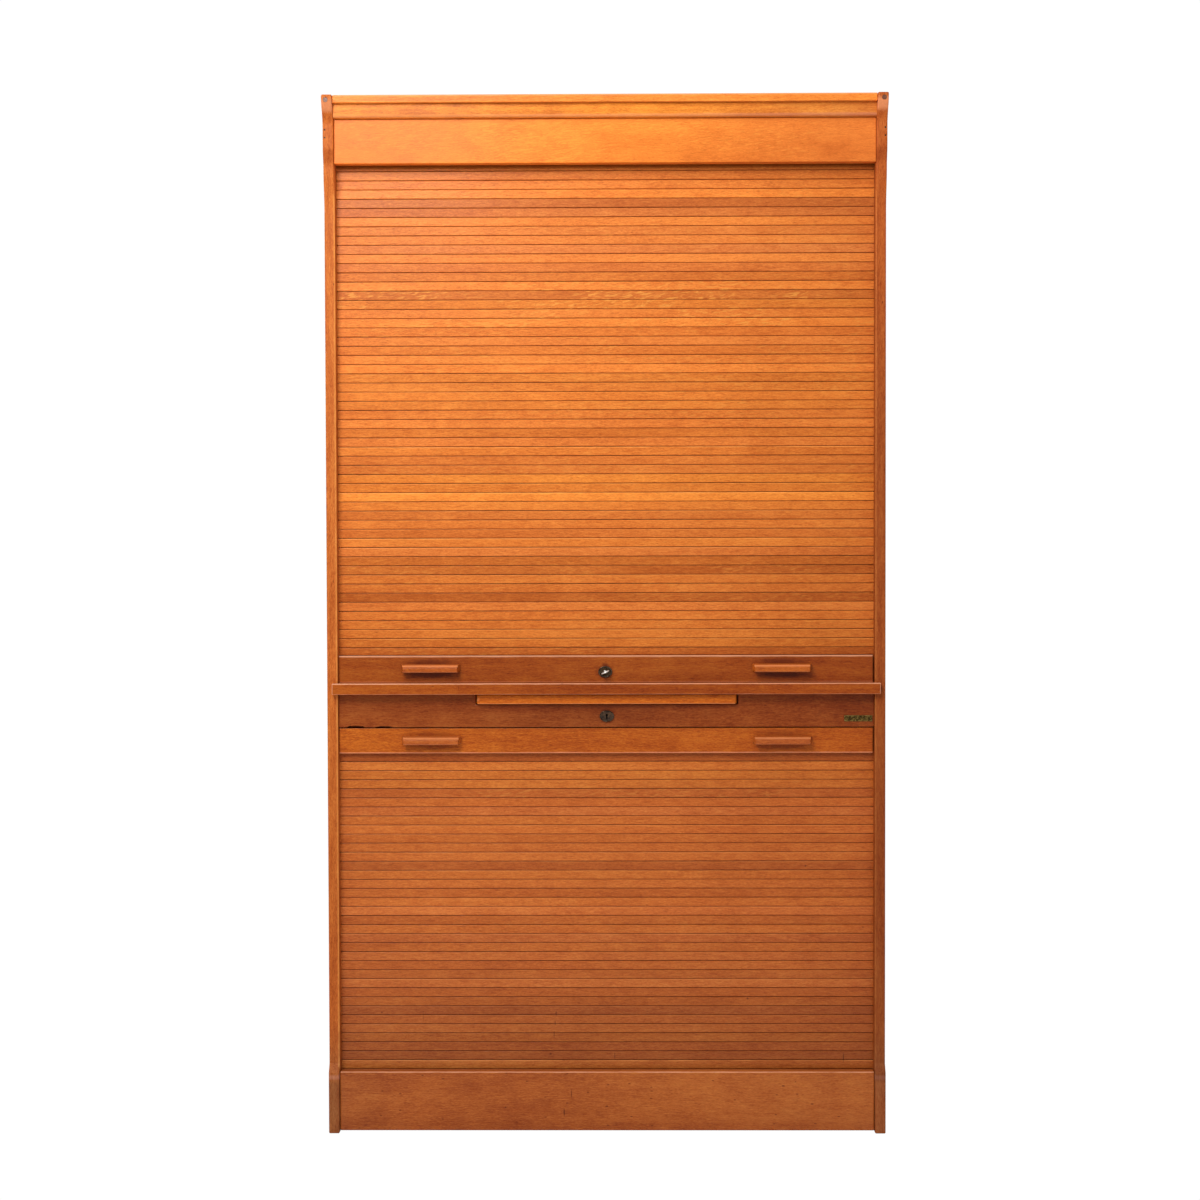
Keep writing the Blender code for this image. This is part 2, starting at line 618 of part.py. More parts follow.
def make_writing_slide():
    front = MID_FACE - SLIDE_PROUD
    body = empty("writing_slide_body", (0.0, front, SLIDE_Z0))
    outline = [
        (SLIDE_X0 + 0.0030, front), (SLIDE_X1 - 0.0030, front), (SLIDE_X1, front + 0.0040),
        (SLIDE_X1, front + SLIDE_DEPTH), (SLIDE_X0, front + SLIDE_DEPTH), (SLIDE_X0, front + 0.0040),
    ]
    slide = prism("writing_slide", outline, "Z", SLIDE_Z0, SLIDE_Z1, WOOD["slide"])
    soften(slide, 0.0016)
    attach(slide, body)
    stop_y = RAIL_BACK + SLIDE_TRAVEL + 0.0010
    stop_top = SLIDE_Z0 - GAP
    stop = block("writing_slide_stop", (-0.205, 0.209), (stop_y, stop_y + 0.018), (stop_top - 0.0110, stop_top),
                 WOOD["slide"])
    soften(stop, 0.0010, 1)
    attach(stop, body)
    ledge = 0.024
    y0 = RAIL_BACK + GAP
    y1 = FALSE_BACK_Y + FALSE_BACK_T
    low = SLIDE_Z0 - GAP - 0.010
    for tag, edge, sign in (("left", SLIDE_X0, -1), ("right", SLIDE_X1, 1)):
        wall = edge + sign * 0.0006
        outline = [
            (wall + sign * 0.022, WORKTOP_Z0 - GAP), (wall, WORKTOP_Z0 - GAP), (wall, SLIDE_Z0 - GAP),
            (wall - sign * ledge, SLIDE_Z0 - GAP), (wall - sign * ledge, low), (wall + sign * 0.022, low),
        ]
        guide = prism("slide_guide_" + tag, outline, "Y", y0, y1, WOOD["inside"])
        soften(guide, 0.0006, 1)


def main():
    clear_scene()
    make_carcass()
    make_shelves()
    make_worktop()
    make_mid_rail()
    make_writing_slide()
    make_upper_shutter()
    make_lower_shutter()


main()
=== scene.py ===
"""Looks of the roll-front desk cabinet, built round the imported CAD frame. Metres, +Z up, front faces -Y."""
import math
import random

import bmesh
import bpy
from mathutils import Matrix, Vector


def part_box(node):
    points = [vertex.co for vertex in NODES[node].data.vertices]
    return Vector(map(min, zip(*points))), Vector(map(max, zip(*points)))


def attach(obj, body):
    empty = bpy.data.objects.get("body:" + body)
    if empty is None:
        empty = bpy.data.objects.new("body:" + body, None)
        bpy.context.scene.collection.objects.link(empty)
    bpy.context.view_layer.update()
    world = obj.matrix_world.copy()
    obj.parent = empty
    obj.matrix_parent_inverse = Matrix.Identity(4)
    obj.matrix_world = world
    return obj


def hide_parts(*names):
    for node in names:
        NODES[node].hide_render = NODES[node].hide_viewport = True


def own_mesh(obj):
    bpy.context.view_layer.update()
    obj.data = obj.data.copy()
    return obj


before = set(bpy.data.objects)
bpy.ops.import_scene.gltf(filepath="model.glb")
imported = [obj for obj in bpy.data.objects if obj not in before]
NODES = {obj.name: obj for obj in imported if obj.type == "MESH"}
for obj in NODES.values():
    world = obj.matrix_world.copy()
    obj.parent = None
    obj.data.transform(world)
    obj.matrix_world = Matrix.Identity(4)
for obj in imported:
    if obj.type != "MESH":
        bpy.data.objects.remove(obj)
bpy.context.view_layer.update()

# ---------------------------------------------------------------- colour and shader helpers


def lin(r, g, b):
    """sRGB 0-255 to linear."""
    out = []
    for c in (r, g, b):
        c /= 255.0
        out.append(c / 12.92 if c <= 0.04045 else ((c + 0.055) / 1.055) ** 2.4)
    return (out[0], out[1], out[2], 1.0)


def scaled(colour, r, g, b):
    """The colour with each channel multiplied, up to full brightness."""
    return (min(1.0, colour[0] * r), min(1.0, colour[1] * g), min(1.0, colour[2] * b), 1.0)


class Graph:
    """A material's node tree, written a line at a time."""

    def __init__(self, name):
        self.mat = bpy.data.materials.new(name)
        self.mat.use_nodes = True
        self.tree = self.mat.node_tree
        self.bsdf = self.tree.nodes["Principled BSDF"]

    def node(self, kind, **props):
        n = self.tree.nodes.new(kind)
        for k, v in props.items():
            setattr(n, k, v)
        return n

    def put(self, socket, value):
        if isinstance(value, bpy.types.NodeSocket):
            self.tree.links.new(value, socket)
        elif value is not None:
            socket.default_value = value

    def math(self, op, a, b=None, c=None, clamp=False):
        n = self.node("ShaderNodeMath", operation=op, use_clamp=clamp)
        self.put(n.inputs[0], a)
        self.put(n.inputs[1], b)
        self.put(n.inputs[2], c)
        return n.outputs[0]

    def vec(self, op, a, b=None):
        n = self.node("ShaderNodeVectorMath", operation=op)
        self.put(n.inputs[0], a)
        self.put(n.inputs[1], b)
        return n.outputs[0]

    def split(self, vector):
        n = self.node("ShaderNodeSeparateXYZ")
        self.put(n.inputs[0], vector)
        return tuple(n.outputs)

    def join(self, x, y, z=0.0):
        n = self.node("ShaderNodeCombineXYZ")
        for socket, value in zip(n.inputs, (x, y, z)):
            self.put(socket, value)
        return n.outputs[0]

    def object_coords(self):
        return self.node("ShaderNodeTexCoord").outputs["Object"]

    def attribute(self, name, out="Fac"):
        return self.node("ShaderNodeAttribute", attribute_name=name).outputs[out]

    def noise(self, vector, scale=1.0, detail=2.0, rough=0.5, distort=0.0):
        n = self.node("ShaderNodeTexNoise")
        self.put(n.inputs["Vector"], vector)
        n.inputs["Scale"].default_value = scale
        n.inputs["Detail"].default_value = detail
        n.inputs["Roughness"].default_value = rough
        n.inputs["Distortion"].default_value = distort
        return n.outputs["Fac"]

    def streaks(self, p, along, across, detail, rough):
        """Noise drawn out along p's first axis, by its scale along that axis and across it."""
        return self.noise(self.vec("MULTIPLY", p, (along, across, across)), 1.0, detail, rough)

    def swing(self, value, gain, base):
        """base plus gain times how far value is from one half."""
        return self.math("MULTIPLY_ADD", self.math("SUBTRACT", value, 0.5), gain, base)

    def radius(self, a, b):
        """Distance from the origin of the point (a, b)."""
        return self.math("SQRT", self.math("ADD", self.math("MULTIPLY", a, a), self.math("MULTIPLY", b, b)))

    def band(self, value, low, high, a=0.0, b=1.0):
        """Value eased from low..high to a..b, clamped."""
        n = self.node("ShaderNodeMapRange", interpolation_type="SMOOTHSTEP")
        self.put(n.inputs["Value"], value)
        n.inputs["From Min"].default_value = low
        n.inputs["From Max"].default_value = high
        n.inputs["To Min"].default_value = a
        n.inputs["To Max"].default_value = b
        return n.outputs["Result"]

    def ramp(self, value, stops):
        n = self.node("ShaderNodeValToRGB")
        self.put(n.inputs["Fac"], value)
        els = n.color_ramp.elements
        els[0].position, els[0].color = stops[0]
        els[1].position, els[1].color = stops[-1]
        for pos, col in stops[1:-1]:
            e = els.new(pos)
            e.color = col
        return n.outputs["Color"]

    def mix(self, fac, a, b, how="MIX"):
        n = self.node("ShaderNodeMix", data_type="RGBA", blend_type=how)
        self.put(n.inputs["Factor"], fac)
        self.put(n.inputs["A"], a)
        self.put(n.inputs["B"], b)
        return n.outputs["Result"]

    def tint(self, fac, colour, by):
        """Colour multiplied by another, as far as fac says."""
        return self.mix(fac, colour, by, "MULTIPLY")

    def bump(self, height, strength, distance):
        n = self.node("ShaderNodeBump")
        n.inputs["Strength"].default_value = strength
        n.inputs["Distance"].default_value = distance
        self.put(n.inputs["Height"], height)
        self.put(self.bsdf.inputs["Normal"], n.outputs["Normal"])

    def set(self, **values):
        for key, v in values.items():
            self.put(self.bsdf.inputs[key.replace("_", " ")], v)
        return self.mat


# ---------------------------------------------------------------- wear, painted light and painted shade: marks laid over a timber's colour
# Each mark gives back a function of the graph, the colour so far, the object coordinates and the
# coordinates whose first axis follows the grain.

X, Y, Z = 0, 1, 2
EDGE_BEGINS, EDGE_WHOLE = -0.184, -0.193    # y over which a mark comes in on a side panel's front edge


def blot(axes, at, size, tint, amount, how="MULTIPLY", ragged=0.5, soft=0.35):
    """A soft-edged patch, for stains and for painted shade: an ellipse of half-sizes size round at, in the
    plane of the two axes.
    """
    def apply(g, colour, xyz, p):
        shares = []
        for axis, middle, half in zip(axes, at, size):
            shares.append(g.math("MULTIPLY", g.math("SUBTRACT", xyz[axis], middle), 1.0 / half))
        r = g.radius(*shares)
        if ragged:
            r = g.swing(g.noise(g.join(*xyz), 1.6 / min(size), 2.0, 0.6), ragged, r)
        return g.mix(g.band(r, 1.0, soft, 0.0, amount), colour, tint, how)
    return apply


def fade(axis, start, end, tint, amount, ragged=0.0, scale=9.0):
    """A change along one axis: nothing at start, amount at end. ragged breaks it into patches."""
    def apply(g, colour, xyz, p):
        v = g.band(xyz[axis], start, end)
        if ragged:
            patches = g.noise(g.join(*xyz), scale, 3.0, 0.6)
            v = g.math("MULTIPLY", v, g.band(patches, 0.30, 0.66, 1.0 - ragged, 1.0))
        return g.tint(g.math("MULTIPLY", v, amount), colour, tint)
    return apply


def arris(axes, at, width, tint, amount, broken=0.6):
    """A pale band of painted highlight and wear along a long edge, square to the two axes through the point
    at.
    """
    def apply(g, colour, xyz, p):
        d = g.radius(g.math("SUBTRACT", xyz[axes[0]], at[0]), g.math("SUBTRACT", xyz[axes[1]], at[1]))
        rub = g.streaks(p, 26.0, 190.0, 3.0, 0.65)
        d = g.swing(rub, -1.6 * width * broken, d)
        return g.mix(g.band(d, width, width * 0.25, 0.0, amount), colour, tint)
    return apply


def front_only(mark):
    """The same mark, kept to the front edge of a panel that runs from front to back."""
    def apply(g, colour, xyz, p):
        return g.mix(g.band(xyz[Y], EDGE_BEGINS, EDGE_WHOLE), colour, mark(g, colour, xyz, p))
    return apply


def dents(density, share, tint, amount, length=0.10, seed=0.0):
    """Small dark knocks, longer along the grain: a scatter of cells, of which only a share shows."""
    def apply(g, colour, xyz, p):
        along, a, b = g.split(p)
        along = g.math("MULTIPLY_ADD", along, density * 0.4, seed)
        across = g.math("MULTIPLY", g.math("ADD", a, b), density)
        n = g.node("ShaderNodeTexVoronoi", voronoi_dimensions="2D", feature="F1")
        g.put(n.inputs["Vector"], g.join(along, across))
        n.inputs["Scale"].default_value = 1.0
        shown = g.math("GREATER_THAN", g.split(n.outputs["Color"])[0], 1.0 - share)
        spot = g.band(n.outputs["Distance"], length, length * 0.45)
        return g.tint(g.math("MULTIPLY", g.math("MULTIPLY", spot, shown), amount), colour, tint)
    return apply


# ---------------------------------------------------------------- timber and metal

GRAIN_FIRST = {"X": (0, 1, 2), "Y": (1, 0, 2), "Z": (2, 0, 1)}    # puts the grain's axis first
PORE_TINT = (0.42, 0.28, 0.24, 1.0)
HAZE_TINT = (1.10, 1.13, 1.16, 1.0)
# painted shade along the lower edge of each slat
UNDER_LIP_SHADE = (0.55, 0.42, 0.36, 1.0)
PINKER = (0.92, 0.94, 1.45, 1.0)
YELLOWER = (1.02, 1.14, 0.86, 1.0)
LINES_PER_METRE = 62.0


def growth_lines(g, t, p, q, lines):
    """Wavy parallel lines, as flat-sawn or rotary-cut timber shows."""
    _, a, b = g.split(q)
    bend = g.streaks(p, 0.9, 3.2, 1.0, 0.4)
    across = g.math("ADD", g.math("MULTIPLY_ADD", a, 0.8, b), g.swing(bend, 0.16, 0.0))
    wave = g.math("SINE", g.math("MULTIPLY", across, 2.0 * math.pi * LINES_PER_METRE))
    return g.math("MULTIPLY_ADD", wave, 0.13 * lines, t)


def slat_colour(g, colour, base, p):
    """Each slat's own tone and hue, a painted highlight on its upper lip and painted shade along its lower
    edge.
    """
    rise = g.attribute("rise")
    patches = g.band(g.streaks(p, 14.0, 90.0, 3.0, 0.6), 0.35, 0.6, 0.15, 1.0)
    # painted highlight on each slat's upper lip
    lip = g.math("MULTIPLY", g.band(rise, 0.87, 0.93), g.attribute("lip"))
    colour = g.mix(g.math("MULTIPLY", lip, patches), colour, scaled(base, 1.35, 1.75, 2.4))
    # painted shade along each slat's lower edge
    colour = g.tint(g.band(rise, 0.10, 0.03, 0.0, 0.55), colour, UNDER_LIP_SHADE)
    shade = g.math("MULTIPLY_ADD", g.attribute("tone"), 0.95, 1.0)
    deeper = g.math("POWER", shade, 1.15)
    colour = g.tint(1.0, colour, g.join(shade, deeper, deeper))
    hue = g.attribute("warm")
    colour = g.tint(g.band(hue, 0.5, 0.0, 0.0, 0.6), colour, PINKER)
    return g.tint(g.band(hue, 0.5, 1.0, 0.0, 0.6), colour, YELLOWER)


def ray_flecks(g, colour, base, p, amount, slats):
    """Short pale rays that lean across the grain, in scattered patches."""
    along, a, b = g.split(p)
    across = g.math("ADD", a, b)
    u = g.math("MULTIPLY", g.math("MULTIPLY_ADD", across, 0.9, along), 46.0)
    v = g.math("MULTIPLY", g.math("MULTIPLY_ADD", along, -0.16, across), 280.0)
    rays = g.noise(g.join(u, v), 1.0, 2.0, 0.55, 0.6)
    patches = g.streaks(p, 5.0, 14.0, 1.0, 0.5)
    mask = g.math("MULTIPLY", g.band(rays, 0.51, 0.66), g.band(patches, 0.40, 0.56))
    if slats:
        mask = g.math("MULTIPLY", mask, g.attribute("fleck"))
    return g.mix(g.math("MULTIPLY", mask, amount), colour, scaled(base, 1.22, 1.9, 2.2))


def wood(name, axis, mid, seed, slats=False, fleck=0.0, figure=1.0, lines=0.0, mottle=1.0, grain=1.0,
         pores=1.0, spread=1.4, rough=0.36, coat=0.20, gloss=0.20, bump=0.22, marks=()):
    """Oiled open-pored timber with the grain along one axis. mid is its middle tone in sRGB."""
    g = Graph(name)
    source = g.attribute("grain", "Vector") if slats else g.object_coords()
    xyz = g.split(g.object_coords())
    s = g.split(source)
    rnd = random.Random(seed)
    shift = tuple(rnd.uniform(-9, 9) for _ in range(3))
    p = g.vec("ADD", g.join(*(s[i] for i in GRAIN_FIRST[axis])), shift)
    wander = g.swing(g.streaks(p, 1.6, 7.0, 2.0, 0.5), 0.030 * figure, 0.0)
    q = g.vec("ADD", p, g.join(0.0, wander, wander))

    rings = g.streaks(q, 1.8, 64.0, 3.0, 0.60)
    dash = g.streaks(q, 48.0, 620.0, 2.0, 0.65)
    fibre = g.streaks(q, 160.0, 1150.0, 1.0, 0.5)
    speck = g.streaks(p, 290.0, 1000.0, 2.0, 0.7)
    broad = g.streaks(p, 1.3, 6.5, 1.0, 0.5)
    cloud = g.streaks(p, 17.0, 30.0, 2.0, 0.55)
    t = g.swing(rings, 0.55 * figure, 0.5)
    t = g.swing(dash, 1.10 * grain, t)
    t = g.swing(fibre, 0.95 * grain, t)
    t = g.swing(speck, 0.80 * grain, t)
    t = g.swing(broad, 0.50 * mottle, t)
    t = g.swing(cloud, 0.40 * mottle, t)
    if lines:
        t = growth_lines(g, t, p, q, lines)
    if slats:
        t = g.math("MULTIPLY_ADD", g.attribute("tone"), 0.4, t)

    base = lin(*mid)
    dark = scaled(base, 1.0 - 0.27 * spread, 1.0 - 0.39 * spread, 1.0 - 0.44 * spread)
    light = scaled(base, 1.0 + 0.20 * spread, 1.0 + 0.46 * spread, 1.0 + 0.60 * spread)
    colour = g.ramp(t, [(0.06, dark), (0.50, base), (0.94, light)])
    if slats:
        colour = slat_colour(g, colour, base, p)
    if fleck:
        colour = ray_flecks(g, colour, base, p, fleck, slats)
    pore = g.band(g.streaks(q, 105.0, 1400.0, 1.0, 0.5), 0.58, 0.70)
    pore = g.math("MULTIPLY", pore, 0.40 * pores)
    colour = g.tint(pore, colour, PORE_TINT)
    haze = g.band(g.noise(g.object_coords(), 5.5, 3.0, 0.55), 0.34, 0.66)
    colour = g.tint(g.math("MULTIPLY", haze, 0.55), colour, HAZE_TINT)
    for mark in marks:
        colour = mark(g, colour, xyz, p)

    dull = g.swing(cloud, 0.14, g.swing(fibre, 0.20, rough))
    dull = g.math("ADD", dull, g.math("MULTIPLY", pore, 0.25), clamp=True)
    relief = g.swing(dash, 0.45, g.math("MULTIPLY", fibre, 0.3))
    g.bump(g.math("SUBTRACT", relief, g.math("MULTIPLY", pore, 0.9)), bump, 0.0004)
    g.set(Specular_IOR_Level=gloss, Coat_Weight=coat, Coat_Roughness=0.18)
    return g.set(Base_Color=colour, Roughness=dull)


def metal(name, base, worn, rough, seed, scale=120.0, grime=0.6, bump=0.12, metallic=1.0, gloss=0.5):
    """Patinated metal: cloudy tarnish, patches worn bright, fine scratches."""
    g = Graph(name)
    p = g.vec("ADD", g.object_coords(), (seed * 0.37, seed * 0.11, seed * 0.23))
    cloud = g.noise(p, scale, 4.0, 0.62)
    fine = g.noise(p, scale * 9.0, 2.0, 0.6)
    scratches = g.noise(g.vec("MULTIPLY", p, (60.0, 900.0, 2600.0)), 1.0, 2.0, 0.6)
    colour = g.ramp(g.swing(fine, 0.5, cloud), [(0.32, lin(*base)), (0.68, lin(*worn))])
    tarnish = g.math("MULTIPLY", g.band(cloud, 0.55, 0.38), grime)
    colour = g.tint(tarnish, colour, lin(120, 104, 90))
    dull = g.math("MAXIMUM", g.swing(scratches, 0.25, g.swing(cloud, -0.5, rough)), 0.08)
    g.bump(g.math("ADD", g.math("MULTIPLY", scratches, 0.5), fine), bump, 0.0002)
    return g.set(Base_Color=colour, Roughness=dull, Metallic=metallic, Specular_IOR_Level=gloss)


# ---------------------------------------------------------------- tones and wear of each part

# Darkening tints: the first for hand grime and for painted shadow under the battens, the second for painted
# shade and for dust low on the back panel.
GRIME_AND_SHADOW = (0.50, 0.36, 0.40, 1.0)
SHADE_AND_DUST = (0.62, 0.52, 0.50, 1.0)
KNOCK = (0.30, 0.20, 0.22, 1.0)
CUT = (0.28, 0.20, 0.22, 1.0)
# Pale edge tints: painted highlight and wear.
RUBBED_AND_HIGHLIT = lin(238, 160, 122)
PALE = lin(244, 178, 140)

BOX = {name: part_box(name) for name in NODES}


def centre(name):
    """x and z of the middle of a node's box."""
    lo, hi = BOX[name]
    return (lo.x + hi.x) / 2, (lo.z + hi.z) / 2


def scratch(x, z, w, h, amount=0.8):
    """A dark scratch or nick on a front face: its middle and its half-sizes."""
    return blot((X, Z), (x, z), (w, h), CUT, amount, ragged=0.9, soft=0.3)


def handle_grime_and_shadow(name, strength):
    """Round a finger batten: a dark line of hand grime and painted shade above it, a dark line below it as
    its painted shadow, and a wider painted shade.
    """
    lo, hi = BOX[name]
    x, z = centre(name)
    line = (0.062, 0.011)
    return (
        blot((X, Z), (x, hi.z + 0.003), line, GRIME_AND_SHADOW, 0.70 * strength, ragged=0.7, soft=0.2),
        # the batten's painted shadow
        blot((X, Z), (x + 0.002, lo.z - 0.003), line, GRIME_AND_SHADOW, 0.75 * strength, ragged=0.3, soft=0.4),
        # painted shade round the batten
        blot((X, Z), (x, z), (0.080, 0.024), SHADE_AND_DUST, 0.75 * strength, ragged=0.7, soft=0.3),
    )


def rail_marks(tag, strength, top_rub_and_highlight, low_rub_and_highlight, left_painted_light, lock=None):
    """A shutter's rail: painted light falloff from left to right, grime and painted shade round the battens,
    grime and a darker patch round the lock, and pale long edges of painted highlight and wear.
    """
    lo, hi = BOX[tag + "_tambour_rail"]
    out = [
        # lighter to the left and darker to the right: painted light falloff
        fade(X, -0.12, -0.50, (1.22, 1.36, 1.20, 1.0), left_painted_light, ragged=0.3, scale=5.0),
        fade(X, 0.0, 0.50, (0.92, 0.84, 0.78, 1.0), strength, ragged=0.3, scale=5.0),
        # darker along the top: grime and painted shade, on the lower rail the middle rail's painted shadow
        fade(Z, hi.z - 0.018, hi.z, SHADE_AND_DUST, 0.25 * strength, ragged=0.8, scale=14.0),
    ]
    for side in ("left", "right"):
        out.extend(handle_grime_and_shadow(tag + "_handle_" + side, strength))
    if lock:
        x, z = centre(lock)
        over = BOX[lock][1].z + 0.001
        out.append(blot((X, Z), (x, over), (0.009, 0.009), GRIME_AND_SHADOW, 0.85, ragged=0.5, soft=0.2))
        out.append(blot((X, Z), (x, z), (0.022, 0.019), SHADE_AND_DUST, 0.6, ragged=0.5, soft=0.5))
    # pale long edges: painted highlight and wear
    out.append(arris((Y, Z), (lo.y + 0.0008, hi.z - 0.0008), 0.0034, PALE, top_rub_and_highlight, 0.5))
    out.append(arris((Y, Z), (lo.y + 0.0006, lo.z + 0.0006), 0.0024, RUBBED_AND_HIGHLIT, low_rub_and_highlight, 0.6))
    return tuple(out)


def side_marks(left):
    """The front edge of a side panel, from the dark shoulder to the foot, with painted highlights and painted
    light falloff.
    """
    lo, hi = BOX["side_panel_left" if left else "side_panel_right"]
    inner = hi.x if left else lo.x
    foot = (0.76, 0.84, 1.05, 1.0) if left else (1.35, 1.45, 1.50, 1.0)
    return (
        # painted highlight where the top of the edge turns upwards
        blot((Y, Z), (-0.225, hi.z - 0.020), (0.030, 0.016), lin(222, 148, 106), 0.55, "MIX", ragged=0.4),
        blot((Y, Z), (-0.206, hi.z - 0.112), (0.024, 0.020), (0.70, 0.56, 0.50, 1.0), 0.75, ragged=0.6),
        # painted highlight along the inner edge
        arris((X, Y), (inner, -0.197), 0.0042, lin(255, 178, 92), 0.45 if left else 0.12, 0.6),
        # painted highlight on the foot's bevel
        arris((Y, Z), (-0.2, 0.110), 0.009, lin(232, 160, 122), 0.55 if left else 0.35, 0.2),
        front_only(fade(Z, 0.24, 0.10, (0.80, 0.96, 1.35, 1.0), 1.0, ragged=0.3)),
        front_only(fade(Z, 0.110, 0.095, foot, 1.0)),
        # lighter towards the top and darker lower down, mostly on the right panel: painted light falloff
        front_only(fade(Z, 1.30, 1.80, (1.28, 1.24, 1.15, 1.0), 0.0 if left else 1.0)),
        front_only(fade(Z, 0.95, 0.60, (0.80, 0.76, 0.80, 1.0), 0.2 if left else 1.0)),
        fade(Z, 0.16, 0.0, (0.90, 0.90, 0.95, 1.0), 0.8, ragged=0.7, scale=7.0),
        dents(70.0, 0.05, (0.30, 0.22, 0.20, 1.0), 0.8, 0.09),
    )


plinth_lo, plinth_hi = BOX["plinth"]
worktop_lo, worktop_hi = BOX["worktop"]
cornice_lo, cornice_hi = BOX["cornice_moulding"]
top_lo, top_hi = BOX["top_panel"]
slide_lo = BOX["writing_slide"][0]
mid_top = BOX["mid_rail"][1].z
header_low = BOX["header_panel"][0].z
lock_x = centre("lower_escutcheon")[0]

UPPER_SLAT_MARKS = (
    # darker to the right: painted light falloff
    fade(X, 0.0, 0.50, (0.90, 0.87, 0.84, 1.0), 1.0),
    # darker just under the header: the header's painted shadow
    fade(Z, header_low - 0.006, header_low + 0.001, (0.50, 0.42, 0.32, 1.0), 1.0),
)
LOWER_SLAT_MARKS = (
    # darker towards the bottom: painted light falloff
    fade(Z, 0.42, 0.10, (0.84, 0.88, 0.98, 1.0), 1.0),
    # darker to the right: painted light falloff
    fade(X, 0.0, 0.5, (0.94, 0.90, 0.88, 1.0), 1.0),
    scratch(-0.099, 0.227, 0.0016, 0.007),
    scratch(-0.101, 0.208, 0.0014, 0.006),
    scratch(-0.103, 0.186, 0.0012, 0.010),
    scratch(-0.359, 0.222, 0.0012, 0.013, 0.5),
    scratch(0.0155, 0.143, 0.0014, 0.011, 0.7),
    scratch(0.4620, 0.140, 0.0016, 0.012, 0.8),
    scratch(-0.110, 0.147, 0.0034, 0.0026),
    scratch(0.275, 0.256, 0.0026, 0.0026),
    scratch(-0.440, 0.229, 0.0026, 0.0022),
    scratch(0.388, 0.516, 0.0024, 0.0024),
    scratch(0.500, 0.396, 0.0024, 0.0024, 0.6),
)
PLINTH_MARKS = (
    fade(X, -0.36, -0.50, (0.86, 0.86, 0.88, 1.0), 0.7, ragged=0.4),
    fade(Z, plinth_lo.z + 0.055, plinth_lo.z, (0.80, 0.70, 0.74, 1.0), 0.7, ragged=0.5, scale=7.0),
    # darker to the right: painted light falloff
    fade(X, 0.10, 0.52, (0.90, 0.86, 0.90, 1.0), 0.6),
    dents(62.0, 0.16, KNOCK, 0.75, 0.085),
    dents(44.0, 0.05, (0.26, 0.16, 0.18, 1.0), 0.85, 0.075, 4.0),
    scratch(-0.069, 0.076, 0.0014, 0.011),
    scratch(-0.083, 0.040, 0.0022, 0.010),
    scratch(-0.197, 0.050, 0.0024, 0.0020),
    scratch(0.366, 0.100, 0.0022, 0.0020, 0.6),
    # pale top edge: painted highlight and wear
    arris((Y, Z), (plinth_lo.y + 0.0006, plinth_hi.z - 0.0006), 0.0020, PALE, 0.60, 0.7),
)
WORKTOP_MARKS = (
    blot((X, Z), (0.0, 0.864), (0.34, 0.05), (0.84, 0.78, 0.78, 1.0), 1.0, ragged=0.4, soft=0.2),
    # pale top, lower and end edges: painted highlight and reflection, with wear
    arris((Y, Z), (worktop_lo.y + 0.0004, worktop_hi.z - 0.0004), 0.0022, PALE, 0.65, 0.5),
    arris((Y, Z), (worktop_lo.y + 0.0004, worktop_lo.z + 0.0004), 0.0015, RUBBED_AND_HIGHLIT, 0.30, 1.2),
    arris((X, Y), (worktop_lo.x, worktop_lo.y), 0.0022, PALE, 0.5, 0.5),
    arris((X, Y), (worktop_hi.x, worktop_lo.y), 0.0022, PALE, 0.5, 0.5),
    scratch(-0.284, 0.866, 0.0008, 0.006, 0.5),
    dents(60.0, 0.06, KNOCK, 0.6, 0.08),
)
MIDDLE_RAIL_MARKS = (
    blot((X, Z), (-0.03, 0.812), (0.30, 0.05), (0.86, 0.86, 0.92, 1.0), 1.0, ragged=0.6, soft=0.2),
    # darker towards the top: painted shadow under the worktop
    fade(Z, mid_top - 0.052, mid_top - 0.020, (0.74, 0.60, 0.62, 1.0), 0.55, ragged=0.6, scale=12.0),
    # darker to the right: painted light falloff
    fade(X, 0.20, 0.52, (0.84, 0.78, 0.82, 1.0), 0.6, ragged=0.4),
    # thin dark band under the writing slide: its painted shadow
    blot((X, Z), (0.000, 0.828), (0.30, 0.010), SHADE_AND_DUST, 0.5, ragged=0.8, soft=0.1),
    blot((X, Z), (lock_x, 0.8100), (0.021, 0.018), SHADE_AND_DUST, 0.6, ragged=0.5, soft=0.5),
    dents(58.0, 0.04, (0.40, 0.28, 0.26, 1.0), 0.6, 0.08),
)
HEADER_MARKS = (
    # darker towards both ends, most to the right: painted light falloff
    fade(X, -0.05, 0.52, (0.86, 0.80, 1.05, 1.0), 1.0),
    fade(X, 0.1, -0.52, (1.0, 0.93, 0.92, 1.0), 1.0),
    dents(70.0, 0.015, (0.45, 0.32, 0.28, 1.0), 0.6, 0.06),
)
CORNICE_MARKS = (
    # pale lower edge: painted highlight
    arris((Y, Z), (cornice_lo.y + 0.001, cornice_lo.z + 0.0030), 0.0050, lin(240, 160, 108), 0.45, 0.5),
    # darker under the top panel's overhang: painted shadow
    fade(Z, cornice_hi.z - 0.010, cornice_hi.z - 0.003, (0.86, 0.78, 0.70, 1.0), 0.8, ragged=0.7,
         scale=16.0),
    # darker to the right: painted light falloff
    fade(X, 0.0, 0.52, (0.66, 0.55, 0.90, 1.0), 1.0, ragged=0.3),
)
TOP_MARKS = (
    # pale top edge: painted highlight
    arris((Y, Z), (top_lo.y + 0.0006, top_hi.z - 0.0008), 0.0030, lin(250, 186, 140), 0.35, 0.7),
    # darker to the right: painted light falloff
    fade(X, 0.10, 0.50, (0.94, 0.80, 0.74, 1.0), 0.8, ragged=0.4),
)
